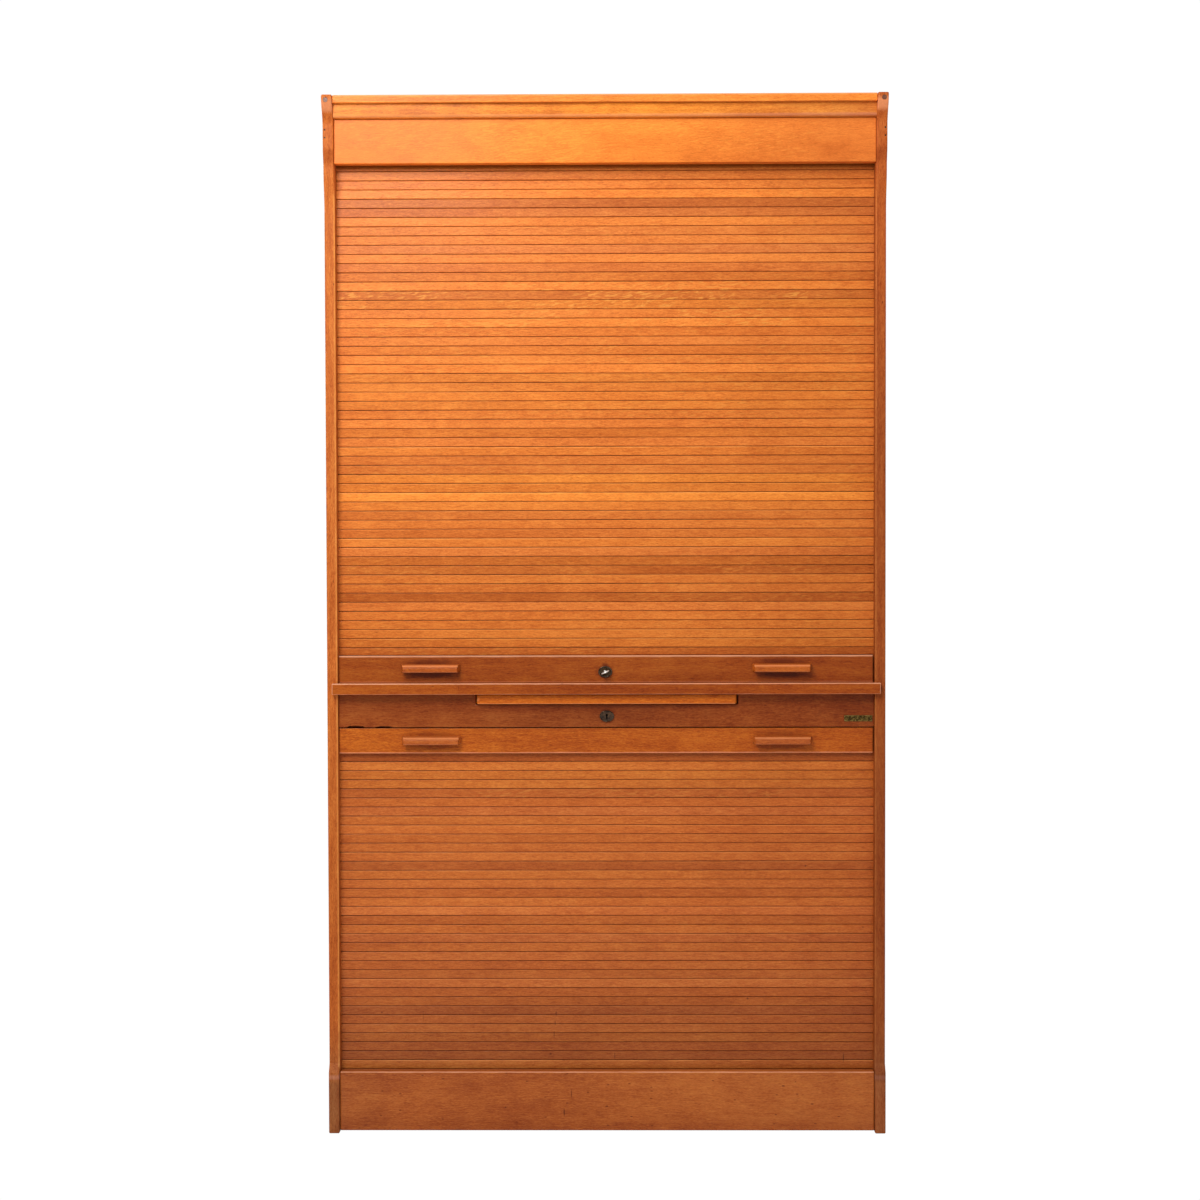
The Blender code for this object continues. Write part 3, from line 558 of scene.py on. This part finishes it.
SLIDE_MARKS = (
    # pale left end and lower edge: painted highlight
    arris((X, Z), (slide_lo.x + 0.0015, 0.843), 0.0055, lin(236, 150, 92), 0.5, 0.3),
    arris((Y, Z), (slide_lo.y + 0.0006, slide_lo.z + 0.0006), 0.0020, lin(226, 148, 96), 0.45, 0.6),
)
BACK_MARKS = (
    fade(Z, 0.35, 0.0, SHADE_AND_DUST, 0.35, ragged=0.8, scale=6.0),
)
UPPER_RAIL_MARKS = rail_marks("upper", 1.0, 0.62, 0.2, 0.3, lock="upper_escutcheon")
LOWER_RAIL_MARKS = rail_marks("lower", 0.6, 0.0, 0.5, 1.0)

INSIDE = dict(coat=0.05, rough=0.52, lines=0.35, fleck=0.15, bump=0.3)
SIDE = dict(coat=0.0, gloss=0.10, rough=0.50, lines=0.6)
CROWN = dict(coat=0.05, gloss=0.08)
RAIL = dict(coat=0.14, gloss=0.14)
MATERIAL = {
    "side": wood("side_timber", "Z", (186, 96, 38), 3, marks=side_marks(True), **SIDE),
    "side_r": wood("side_timber_right", "Z", (157, 77, 31), 4, marks=side_marks(False), **SIDE),
    "header": wood("header_timber", "X", (226, 125, 44), 5, grain=0.5, pores=0.5, figure=0.4, fleck=0.3,
                   marks=HEADER_MARKS, **CROWN),
    "cornice": wood("cornice_timber", "X", (230, 138, 46), 6, grain=0.7, pores=0.6, figure=1.8, mottle=1.5,
                    marks=CORNICE_MARKS, **CROWN),
    "top": wood("top_timber", "X", (228, 132, 52), 7, grain=0.7, pores=0.7, lines=0.4, figure=1.2,
                marks=TOP_MARKS, **CROWN),
    "slat_up": wood("upper_slat_timber", "X", (210, 114, 46), 8, slats=True, fleck=0.75, figure=0.8,
                    spread=1.1, coat=0.06, gloss=0.10, marks=UPPER_SLAT_MARKS),
    "slat_low": wood("lower_slat_timber", "X", (187, 97, 40), 9, slats=True, fleck=0.5, figure=0.8,
                     spread=1.2, coat=0.10, gloss=0.14, marks=LOWER_SLAT_MARKS),
    "rail_up": wood("upper_rail_timber", "X", (152, 70, 17), 10, figure=1.3, mottle=1.6,
                    marks=UPPER_RAIL_MARKS, **RAIL),
    "rail_low": wood("lower_rail_timber", "X", (175, 84, 21), 12, figure=1.3, mottle=1.6,
                     marks=LOWER_RAIL_MARKS, **RAIL),
    "mid": wood("middle_rail_timber", "X", (147, 70, 25), 14, figure=1.4, mottle=1.8, coat=0.10,
                gloss=0.12, marks=MIDDLE_RAIL_MARKS),
    "worktop": wood("worktop_timber", "X", (158, 72, 16), 15, lines=0.4, figure=1.2, mottle=1.5,
                    marks=WORKTOP_MARKS, **RAIL),
    "slide": wood("writing_slide_timber", "X", (199, 98, 22), 16, lines=0.3, marks=SLIDE_MARKS, **RAIL),
    "plinth": wood("plinth_timber", "X", (177, 94, 38), 17, figure=0.8, grain=0.8, mottle=1.3,
                   marks=PLINTH_MARKS, **RAIL),
    "inner": wood("inside_timber", "X", (200, 130, 78), 18, **INSIDE),
    "inner_z": wood("inside_back_timber", "Z", (196, 128, 78), 19, **INSIDE),
    "inner_y": wood("cleat_timber", "Y", (186, 116, 66), 20, coat=0.0, rough=0.55),
    "ply": wood("back_plywood", "Z", (182, 136, 92), 21, coat=0.0, rough=0.7, bump=0.35, figure=1.2,
                lines=0.4, marks=BACK_MARKS),
    "plug": wood("plug_timber", "Y", (120, 76, 58), 22, coat=0.1),
    "bronze": metal("dark_bronze", (50, 38, 28), (92, 74, 54), 0.42, 1),
    "rim": metal("worn_bronze", (58, 48, 38), (112, 98, 84), 0.36, 6),
    "bronze_low": metal("brown_bronze", (52, 36, 24), (92, 66, 44), 0.50, 8, metallic=0.5),
    # near-black stand-in for the shade inside the keyhole: painted shade
    "void": metal("keyhole_shade_black", (5, 4, 3), (14, 11, 9), 0.95, 9, metallic=0.0, gloss=0.02),
    "pin": metal("pin_steel", (44, 34, 28), (72, 58, 46), 0.5, 2),
    "brass": metal("aged_brass", (30, 22, 12), (150, 122, 66), 0.45, 3, scale=300.0, grime=0.9),
    "brass_rim": metal("rubbed_brass", (112, 88, 44), (190, 160, 92), 0.34, 7, scale=300.0),
    "strike": metal("strike_brass", (150, 118, 62), (200, 168, 102), 0.34, 4),
    "steel": metal("key_nickel", (214, 212, 206), (248, 246, 240), 0.34, 5, grime=0.2, bump=0.05,
                   metallic=0.45),
}


def handle_wood(name, mid, seed):
    """Timber of one finger batten, pale along its upper front and lower edges: painted highlight and wear."""
    lo, hi = BOX[name]
    marks = (
        arris((Y, Z), (lo.y + 0.0035, hi.z - 0.0035), 0.0036, lin(236, 156, 104), 0.50, 0.35),
        arris((Y, Z), (lo.y + 0.0004, lo.z + 0.0010), 0.0012, RUBBED_AND_HIGHLIT, 0.25, 0.8),
    )
    return wood(name + "_timber", "X", mid, seed, figure=0.7, rough=0.34, coat=0.22, marks=marks)


ASSIGN = {
    "side_panel_left": "side", "side_panel_right": "side_r", "top_panel": "top",
    "cornice_moulding": "cornice", "header_panel": "header", "worktop": "worktop", "mid_rail": "mid",
    "plinth": "plinth", "inner_top_panel": "inner", "bottom_panel": "inner", "inner_back_upper": "inner_z",
    "inner_back_lower": "inner_z", "dust_panel": "ply", "back_panel": "ply", "slide_guide_left": "inner_y",
    "slide_guide_right": "inner_y", "writing_slide": "slide", "writing_slide_stop": "slide",
    "upper_tambour_rail": "rail_up", "lower_tambour_rail": "rail_low", "nameplate": "brass",
    "nameplate_pin_left": "brass_rim", "nameplate_pin_right": "brass_rim", "upper_strike_plate": "strike",
    "lower_strike_plate": "strike", "upper_escutcheon": "bronze", "lower_escutcheon": "bronze_low",
    "upper_lock_case": "bronze", "lower_lock_case": "bronze", "key": "steel", "upper_lock_bolt": "steel",
    "lower_lock_bolt": "steel", "upper_tambour_curtain": "slat_up", "lower_tambour_curtain": "slat_low",
}
BY_START = {"shelf_": "inner", "cleat_": "inner_y", "edge_plug": "plug", "panel_pin": "pin"}
HANDLE_TONES = {"upper": (178, 88, 26), "lower": (172, 84, 30)}
FIRST_HANDLE_SEED = 60


def material_of(name, place):
    """The material of one CAD node. place is its place in the list of names, a seed for the battens."""
    if "handle" in name:
        return handle_wood(name, HANDLE_TONES[name.split("_")[0]], FIRST_HANDLE_SEED + place)
    for start, kind in BY_START.items():
        if name.startswith(start):
            return MATERIAL[kind]
    return MATERIAL[ASSIGN[name]]


for place, (name, ob) in enumerate(sorted(NODES.items())):
    ob.data.materials.clear()
    ob.data.materials.append(material_of(name, place))


# ---------------------------------------------------------------- mesh helpers


def link(name, bm, mat, smooth=True, angle=40.0):
    """An object made of the mesh. If smooth, only edges sharper than angle (degrees) stay sharp."""
    mesh = bpy.data.meshes.new(name)
    bmesh.ops.recalc_face_normals(bm, faces=bm.faces)
    bm.to_mesh(mesh)
    bm.free()
    ob = bpy.data.objects.new(name, mesh)
    bpy.context.scene.collection.objects.link(ob)
    mesh.materials.append(mat)
    if smooth:
        for poly in mesh.polygons:
            poly.use_smooth = True
        mesh.set_sharp_from_angle(angle=math.radians(angle))
    return ob


def skin(bm, rows, caps=True):
    """Faces between closed rings of vertices, and over both ends where caps is set."""
    n = len(rows[0])
    for r0, r1 in zip(rows, rows[1:]):
        for i in range(n):
            j = (i + 1) % n
            bm.faces.new((r0[i], r0[j], r1[j], r1[i]))
    if caps:
        bm.faces.new(rows[0])
        bm.faces.new(list(reversed(rows[-1])))


def loop_tube(bm, path, section, frame_at):
    """A closed ring: the section (list of 2-D points) carried round the path."""
    rows = []
    for k, point in enumerate(path):
        out, up = frame_at(k)
        rows.append([bm.verts.new(point + out * a + up * b) for a, b in section])
    rows.append(rows[0])
    skin(bm, rows, caps=False)


def rounded(half_a, half_b, n=12, power=2.6):
    """(a, b) points of a rounded rectangle of those half-sizes."""
    pts = []
    for i in range(n):
        t = 2 * math.pi * i / n
        c, s = math.cos(t), math.sin(t)
        a = half_a * math.copysign(abs(c) ** (2 / power), c)
        pts.append((a, half_b * math.copysign(abs(s) ** (2 / power), s)))
    return pts


def ellipse(half_a, half_b, steps, a=0.0, b=0.0):
    """(a, b) points round an ellipse, from its middle and half-sizes."""
    turns = (2 * math.pi * i / steps for i in range(steps))
    return [(a + half_a * math.cos(t), b + half_b * math.sin(t)) for t in turns]


# ---------------------------------------------------------------- tambour curtains

PITCH = 0.017734            # from one slat joint to the next
SLAT_THICK = 0.0062         # slats, in front of the canvas
SLAT_GAP = 0.0008           # between one slat and the next
INSET = 0.0001              # of the slats' faces behind the CAD strip's face
STATIONS = 13               # rings along a slat
# painted light falloff: each curtain lighter towards its top
LIGHT_FALLOFF_DRIFT = 0.18           # from the foot of a curtain to its top
# the light upper lips are a painted highlight on each slat's top edge
FAINT_LIPS_ABOVE = 1.35     # height where the light upper lips of the slats grow faint
# Runs of slats cut from one board, and the lower curtain's top row darkened as painted shadow: (first row
# from the top, how many, change of tone, change of hue, flecks)
GROUPS = {
    "upper": (
        (4, 1, -0.06, 0.0, 0.0), (5, 1, 0.07, 0.1, 0.0), (6, 1, 0.05, 0.1, 0.4),
        (7, 1, -0.20, -0.2, 0.0), (8, 1, -0.03, -0.1, 0.1), (9, 1, -0.03, -0.1, 0.1),
        (10, 1, -0.08, -0.25, 0.1), (11, 4, -0.04, -0.2, 0.2), (15, 1, -0.10, -0.25, 0.3),
        (16, 1, -0.02, 0.0, 0.9), (17, 1, -0.18, -0.1, 1.0), (18, 3, 0.08, 0.2, 1.0),
        (21, 4, 0.03, 0.0, 0.5), (25, 6, 0.06, 0.15, 0.4), (37, 3, 0.06, 0.2, 0.3),
        (49, 2, -0.08, 0.0, 0.3), (52, 4, 0.05, 0.2, 0.2), (56, 1, -0.12, -0.1, 0.1),
    ),
    "lower": (
        # first entry: the row under the lower rail, darker as the rail's painted shadow
        (0, 1, -0.30, 0.1, 0.0), (1, 3, -0.04, 0.30, 0.4), (4, 1, -0.12, -0.1, 0.9),
        (8, 3, 0.02, 0.0, 0.2), (28, 1, -0.08, -0.2, 0.1), (33, 1, -0.09, -0.1, 0.2),
        (34, 1, 0.14, 0.1, 0.2), (35, 2, -0.07, -0.1, 0.1),
    ),
}


def slat_outline(height, top_r, bottom_r, thick):
    """(depth, height) outline of one slat: depth 0 is its face, with rounded front edges."""
    flat = 0.0003
    out = [(thick, height)]
    for i in range(5):
        a = math.radians(90.0 * i / 4)
        out.append((top_r * (1 - math.sin(a)), height - top_r * (1 - math.cos(a))))
    out.append((0.0, height - top_r - flat))
    out.append((0.0, bottom_r + flat))
    for i in range(4):
        a = math.radians(90.0 * i / 3)
        out.append((bottom_r * (1 - math.cos(a)), bottom_r * (1 - math.sin(a))))
    out.append((thick, 0.0))
    return out


def slat_edges(lo, hi, first_joint, direction):
    """Heights of the joints between slats, with the strip's two ends."""
    clear = 0.004
    joints = []
    z = first_joint
    while lo.z + clear < z < hi.z - clear:
        joints.append(z)
        z += direction * PITCH
    return [lo.z] + sorted(joints) + [hi.z]


def slat_values(rnd, tag, row, level, head, share):
    """One slat's attributes. level: tone round it. head: its upper edge. share: its height, from 0 to 1."""
    value = {"tone": level + rnd.gauss(0.0, 0.055), "warm": rnd.gauss(0.5, 0.14)}
    value["fleck"] = max(0.0, rnd.gauss(0.10, 0.15))
    value["lip"] = min(1.0, max(0.0, rnd.gauss(0.12, 0.45))) * (1.0 if head < FAINT_LIPS_ABOVE else 0.30)
    for start, many, tone, hue, fleck in GROUPS[tag]:
        if start <= row < start + many:
            value["tone"] += tone
            value["warm"] += hue
            value["fleck"] = max(value["fleck"], fleck)
    # painted light falloff up the curtain
    value["tone"] += LIGHT_FALLOFF_DRIFT * (share - 0.5)
    return value


def make_curtain(tag, node, first_joint, direction, mat, seed):
    """Separate slats in the space that the CAD strip holds, each with its own tone, hue and grain."""
    lo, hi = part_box(node)
    rnd = random.Random(seed)
    edges = slat_edges(lo, hi, first_joint, direction)
    last = len(edges) - 2
    bm = bmesh.new()
    layers = {key: bm.verts.layers.float.new(key) for key in ("tone", "warm", "fleck", "lip")}
    rise = bm.verts.layers.float.new("rise")
    grain = bm.verts.layers.float_vector.new("grain")
    xs = [lo.x + (hi.x - lo.x) * i / (STATIONS - 1) for i in range(STATIONS)]
    level = 0.0
    for k in range(last + 1):
        foot = edges[k] + (SLAT_GAP / 2 if k else 0.0)
        head = edges[k + 1] - (SLAT_GAP / 2 if k < last else 0.0)
        tall = head - foot
        level = 0.5 * level + rnd.gauss(0.0, 0.025)
        value = slat_values(rnd, tag, last - k, level, head, (foot - lo.z) / (hi.z - lo.z))
        shift = Vector((rnd.uniform(-30, 30), rnd.uniform(-30, 30), rnd.uniform(-30, 30)))
        tilt = rnd.gauss(0.0, 0.006)
        proud = abs(rnd.gauss(0.0, 0.00008))
        top_r = rnd.uniform(0.0007, 0.0011)
        outline = slat_outline(tall, top_r, rnd.uniform(0.0008, 0.0012), SLAT_THICK - 0.0002)
        rows = []
        for x in xs:
            bow = 0.00010 * math.sin(3.1 * x + k * 1.7) + 0.00007 * math.sin(9.0 * x + k * 0.9)
            row = []
            for d, h in outline:
                lean = tilt * (h - tall / 2) * (1.0 - d / SLAT_THICK)
                y = lo.y + INSET + proud + d + lean + abs(tilt) * 0.008
                v = bm.verts.new((x, min(y, hi.y), foot + h + (bow if 0 < k < last else 0.0)))
                v[grain] = Vector((x, y, foot + h)) + shift
                v[rise] = h / tall
                for key, layer in layers.items():
                    v[layer] = value[key]
                row.append(v)
            rows.append(row)
        skin(bm, rows)
    return link(tag + "_slats", bm, mat)


def cloth_back(name, node, mat):
    """The canvas the slats are glued to: a closed sheet with a woven surface."""
    lo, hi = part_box(node)
    bm = bmesh.new()
    hem, end_gap, steps = 0.012, 0.0005, 60
    front = lo.y + SLAT_THICK + 0.0001
    x0, x1 = lo.x + hem, hi.x - hem
    rows = []
    for i in range(steps + 1):
        z = lo.z + end_gap + (hi.z - lo.z - 2 * end_gap) * i / steps
        back = hi.y - 0.0002 + 0.00012 * math.sin(i * 1.9)
        rows.append([bm.verts.new((x, y, z)) for x, y in ((x0, front), (x1, front), (x1, back), (x0, back))])
    skin(bm, rows)
    return link(name, bm, mat)


def canvas(name):
    """Plain woven cotton, dirtier between the threads."""
    g = Graph(name)
    p = g.object_coords()
    warp = g.node("ShaderNodeTexWave", wave_type="BANDS", bands_direction="X")
    weft = g.node("ShaderNodeTexWave", wave_type="BANDS", bands_direction="Z")
    for n in (warp, weft):
        g.put(n.inputs["Vector"], p)
        n.inputs["Scale"].default_value = 260.0
        n.inputs["Distortion"].default_value = 0.6
    cloud = g.noise(p, 9.0, 3.0, 0.6)
    weave = g.math("MULTIPLY", warp.outputs["Fac"], weft.outputs["Fac"])
    colour = g.ramp(cloud, [(0.3, lin(150, 128, 92)), (0.7, lin(186, 164, 124))])
    colour = g.mix(g.band(weave, 0.1, 0.6, 0.45, 0.0), colour, lin(110, 90, 62))
    g.bump(weave, 0.5, 0.0004)
    return g.set(Base_Color=colour, Roughness=0.9)


CANVAS = canvas("canvas_back")
FIRST_CURTAIN_SEED = 40
# Per shutter: height of the slat joint nearest the rail, which way the others go, how far the rail moves
SHUTTERS = {"upper": (0.94267, 1, 0.958), "lower": (0.72036, -1, 0.615)}
for tag, (first_joint, direction, travel) in SHUTTERS.items():
    node = tag + "_tambour_curtain"
    timber = MATERIAL[ASSIGN[node]]
    slats = make_curtain(tag, node, first_joint, direction, timber, FIRST_CURTAIN_SEED + direction)
    cloth = cloth_back(tag + "_canvas", node, CANVAS)
    for ob in (slats, cloth):
        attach(ob, tag + "_shutter")
        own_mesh(ob)
    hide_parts(node)


# ---------------------------------------------------------------- key, escutcheon rims, nameplate border


def lathe(bm, at, profile, sides=28):
    """A turned form about the axis along Y through (x, z): profile is (y, radius), front to back."""
    rows = []
    for y, r in profile:
        rows.append([bm.verts.new((u, y, v)) for u, v in ellipse(r, r, sides, *at)])
    skin(bm, rows)


def make_key():
    """Flat ring bow with a small boss at its foot, and a collared shank."""
    x, z = -0.0013, 0.8958
    face = BOX["upper_tambour_rail"][0].y
    back = BOX["key"][1].y
    half_a, half_b = 0.0063, 0.0057
    steps = 48
    path = [Vector((u, v, 0.0)) for u, v in ellipse(half_a, half_b, steps)]

    def outward(k):
        t = 2 * math.pi * k / steps
        return Vector((math.cos(t) / half_a, math.sin(t) / half_b, 0.0)).normalized(), Vector((0, 0, 1))

    bm = bmesh.new()
    loop_tube(bm, path, rounded(0.0018, 0.00125), outward)
    boss = []
    for height, r in ((0.0009, 0.0017), (0.0030, 0.0015), (0.0040, 0.0013), (0.0046, 0.0006)):
        boss.append([bm.verts.new((u, v, height)) for u, v in ellipse(r, r, 16, 0.0, -half_b)])
    skin(bm, boss)
    turn = Matrix.Translation((x, face - 0.0160, z)) @ Matrix.Rotation(math.radians(-24.0), 4, "Y")
    bmesh.ops.transform(bm, matrix=turn, verts=bm.verts)
    lathe(bm, (x, z), (
        (face - 0.0112, 0.0012), (face - 0.0108, 0.0020), (face - 0.0092, 0.0021), (face - 0.0086, 0.0018),
        (face - 0.0062, 0.0018), (face - 0.0058, 0.0027), (face - 0.0046, 0.0027), (face - 0.0042, 0.0018),
        (back - 0.0004, 0.0018), (back, 0.0014),
    ))
    ob = link("key_bow_and_shank", bm, MATERIAL["steel"], angle=50.0)
    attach(ob, "key")
    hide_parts("key")


def escutcheon_rim(node, body):
    """Raised worn rim round an oval escutcheon."""
    lo, hi = BOX[node]
    inset = 0.0011
    rx, rz = (hi.x - lo.x) / 2 - inset, (hi.z - lo.z) / 2 - inset
    steps = 56
    path = [Vector((u, lo.y - 0.0001, v)) for u, v in ellipse(rx, rz, steps, *centre(node))]

    def outward(k):
        t = 2 * math.pi * k / steps
        return Vector((math.cos(t) / rx, 0.0, math.sin(t) / rz)).normalized(), Vector((0, -1, 0))

    bm = bmesh.new()
    loop_tube(bm, path, rounded(0.0010, 0.0006), outward)
    ob = link(node + "_rim", bm, MATERIAL["rim"], angle=60.0)
    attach(ob, body)


def keyhole_dark():
    """Painted shade for the unlit inside of the lower keyhole: a near-black solid just behind the face of its
    plate.
    """
    lo, hi = BOX["lower_escutcheon"]
    x, z = centre("lower_escutcheon")
    half_slot, foot, waist = 0.0012, -0.0058, 0.0004
    bore, bore_z = 0.0022, 0.0020
    outline = [(-half_slot, foot), (half_slot, foot), (half_slot, waist)]
    for i in range(15):
        a = math.radians(-55.0 + 290.0 * i / 14)
        outline.append((bore * math.cos(a), bore_z + bore * math.sin(a)))
    outline.append((-half_slot, waist))
    bm = bmesh.new()
    depths = (lo.y + 0.0009, lo.y + 0.0012, hi.y - 0.0002)
    rows = [[bm.verts.new((x + a, y, z + b)) for a, b in outline] for y in depths]
    skin(bm, rows)
    ob = link("keyhole_painted_shade", bm, MATERIAL["void"], smooth=False)
    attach(ob, "carcass")


def nameplate_border():
    """A low beaded border round the blank plate."""
    lo, hi = BOX["nameplate"]
    bm = bmesh.new()
    w = 0.0009
    section = ((-0.0007, 0.0001), (-0.0005, -0.0004), (0.0, -0.0005), (0.0006, -0.0003), (0.0007, 0.0001))
    corners = [(lo.x + w, lo.z + w), (hi.x - w, lo.z + w), (hi.x - w, hi.z - w), (lo.x + w, hi.z - w)]
    rows = []
    for (cx, cz), (sx, sz) in zip(corners, ((-1, -1), (1, -1), (1, 1), (-1, 1))):
        rows.append([bm.verts.new((cx + sx * a, lo.y + d, cz + sz * a)) for a, d in section])
    rows.append(rows[0])
    skin(bm, rows, caps=False)
    ob = link("nameplate_border", bm, MATERIAL["brass_rim"], angle=25.0)
    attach(ob, "carcass")


make_key()
escutcheon_rim("upper_escutcheon", "upper_shutter")
escutcheon_rim("lower_escutcheon", "carcass")
keyhole_dark()
nameplate_border()


# ---------------------------------------------------------------- the middle rail's chipped lower edge

# Each chip: where it begins and ends, from the rail's left end, and how high it is
CHIPS = ((0.0152, 0.0505, 0.0046), (0.0706, 0.1040, 0.0026))
TOOTH = 0.0016              # length of one tooth of a chip's ragged outline


def chip(bm, x0, x1, depth, z_low, y_front, rnd):
    """One bite out of a lower edge, as a ragged closed wedge."""
    rows = []
    steps = max(6, round((x1 - x0) / TOOTH))
    for i in range(steps + 1):
        s = i / steps
        high = depth * (math.sin(math.pi * s) ** 0.4) * rnd.uniform(0.55, 1.0) + 0.0002
        x = x0 + (x1 - x0) * s
        section = (
            (-0.002, -0.002), (0.011, -0.002), (0.011, high * 0.15), (0.004, high * 0.8), (-0.002, high),
        )
        rows.append([bm.verts.new((x, y_front + y, z_low + z)) for y, z in section])
    skin(bm, rows)


def chipped_rail():
    """The CAD rail's own shape with the chips cut out of it."""
    src = NODES["mid_rail"]
    bm = bmesh.new()
    bm.from_mesh(src.data)
    ob = link("mid_rail_worn", bm, MATERIAL["mid"], smooth=False)
    cut = bmesh.new()
    rnd = random.Random(5)
    lo = BOX["mid_rail"][0]
    for begin, end, high in CHIPS:
        chip(cut, lo.x + begin, lo.x + end, high, lo.z, lo.y, rnd)
    cutter = link("rail_cutter", cut, MATERIAL["mid"], smooth=False)
    mod = ob.modifiers.new("chips", "BOOLEAN")
    mod.operation = "DIFFERENCE"
    mod.solver = "EXACT"
    mod.object = cutter
    deps = bpy.context.evaluated_depsgraph_get()
    done = bpy.data.meshes.new_from_object(ob.evaluated_get(deps))
    ob.modifiers.clear()
    ob.data = done
    bpy.data.objects.remove(cutter)
    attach(ob, "carcass")
    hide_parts("mid_rail")


chipped_rail()


# ---------------------------------------------------------------- stage, light, camera

FLOOR_HALF = 14.0
WHITE = 1.02            # strength of the backdrop the camera sees
SENSOR_WIDTH = 36.0     # mm
LENS = 54.444           # mm
CAMERA_AT = (0.0207, -3.70, 1.1196)
CAMERA_YAW, CAMERA_DOWN, CAMERA_ROLL = 0.5206, 1.3761, -0.1377    # degrees


def set_glow(shader, colour, strength):
    shader.inputs["Color"].default_value = colour
    shader.inputs["Strength"].default_value = strength


def camera_sees(tree, seen, lit, surface):
    """The camera sees one shader, and the other lights the object."""
    path = tree.nodes.new("ShaderNodeLightPath")
    both = tree.nodes.new("ShaderNodeMixShader")
    tree.links.new(path.outputs["Is Camera Ray"], both.inputs[0])
    tree.links.new(lit.outputs[0], both.inputs[1])
    tree.links.new(seen.outputs[0], both.inputs[2])
    tree.links.new(both.outputs[0], surface)


def make_floor():
    """A pale floor that the camera sees as plain white."""
    bm = bmesh.new()
    corners = ((-1, -1), (1, -1), (1, 1), (-1, 1))
    bm.faces.new([bm.verts.new((FLOOR_HALF * x, FLOOR_HALF * y, 0.0)) for x, y in corners])
    g = Graph("studio_floor")
    g.set(Base_Color=(0.80, 0.79, 0.78, 1), Roughness=0.8)
    glow = g.node("ShaderNodeEmission")
    set_glow(glow, (1, 1, 1, 1), WHITE)
    camera_sees(g.tree, glow, g.bsdf, g.tree.nodes["Material Output"].inputs["Surface"])
    floor = link("studio_floor", bm, g.mat, smooth=False)


def make_world():
    """A white backdrop for the camera, and a dimmer even light for the object."""
    world = bpy.data.worlds.new("studio")
    bpy.context.scene.world = world
    world.use_nodes = True
    tree = world.node_tree
    tree.nodes.clear()
    out = tree.nodes.new("ShaderNodeOutputWorld")
    seen = tree.nodes.new("ShaderNodeBackground")
    lit = tree.nodes.new("ShaderNodeBackground")
    set_glow(seen, (1, 1, 1, 1), WHITE)
    set_glow(lit, (1.0, 0.98, 0.96, 1), 0.40)
    camera_sees(tree, seen, lit, out.inputs["Surface"])


def area(name, at, aim, size, watts, colour=(1, 1, 1)):
    """A soft rectangular light at one point, turned towards another."""
    data = bpy.data.lights.new(name, "AREA")
    data.shape = "RECTANGLE"
    data.size, data.size_y = size
    data.energy = watts
    data.color = colour
    ob = bpy.data.objects.new(name, data)
    bpy.context.scene.collection.objects.link(ob)
    ob.location = at
    ob.rotation_mode = "QUATERNION"
    ob.rotation_quaternion = (Vector(aim) - Vector(at)).to_track_quat("-Z", "Y")


def lights():
    """Soft light from above and in front, to the left, with lights for the back and both sides."""
    area("key", (-0.88, -2.4, 2.65), (0.0, -0.2, 1.3), (1.1, 1.1), 55.0, (1.0, 0.98, 0.95))
    area("top_front", (-0.2, -1.5, 3.3), (0.0, -0.2, 1.4), (2.4, 0.8), 14.0)
    area("fill", (2.2, -3.8, 1.4), (0.0, -0.2, 1.0), (1.6, 1.8), 5.0)
    area("back", (-1.8, 3.4, 2.6), (0.0, 0.2, 1.0), (2.0, 2.0), 90.0)
    area("side_left", (-3.4, 0.6, 1.8), (-0.5, 0.0, 1.0), (1.6, 2.0), 26.0)
    area("side_right", (3.4, 1.0, 1.8), (0.5, 0.0, 1.0), (1.6, 2.0), 30.0)


def camera():
    """Faces the front, turned a little left, tipped down and rolled."""
    data = bpy.data.cameras.new("photo_camera")
    data.sensor_width = SENSOR_WIDTH
    data.lens = LENS
    ob = bpy.data.objects.new("photo_camera", data)
    bpy.context.scene.collection.objects.link(ob)
    yaw = Matrix.Rotation(math.radians(CAMERA_YAW), 4, "Z")
    tilt = Matrix.Rotation(math.radians(90.0 - CAMERA_DOWN), 4, "X")
    roll = Matrix.Rotation(math.radians(CAMERA_ROLL), 4, "Z")
    ob.matrix_world = Matrix.Translation(CAMERA_AT) @ yaw @ tilt @ roll
    bpy.context.scene.camera = ob


make_floor()
make_world()
lights()
camera()
bpy.context.scene.view_settings.view_transform = "Standard"
bpy.context.scene.view_settings.look = "None"
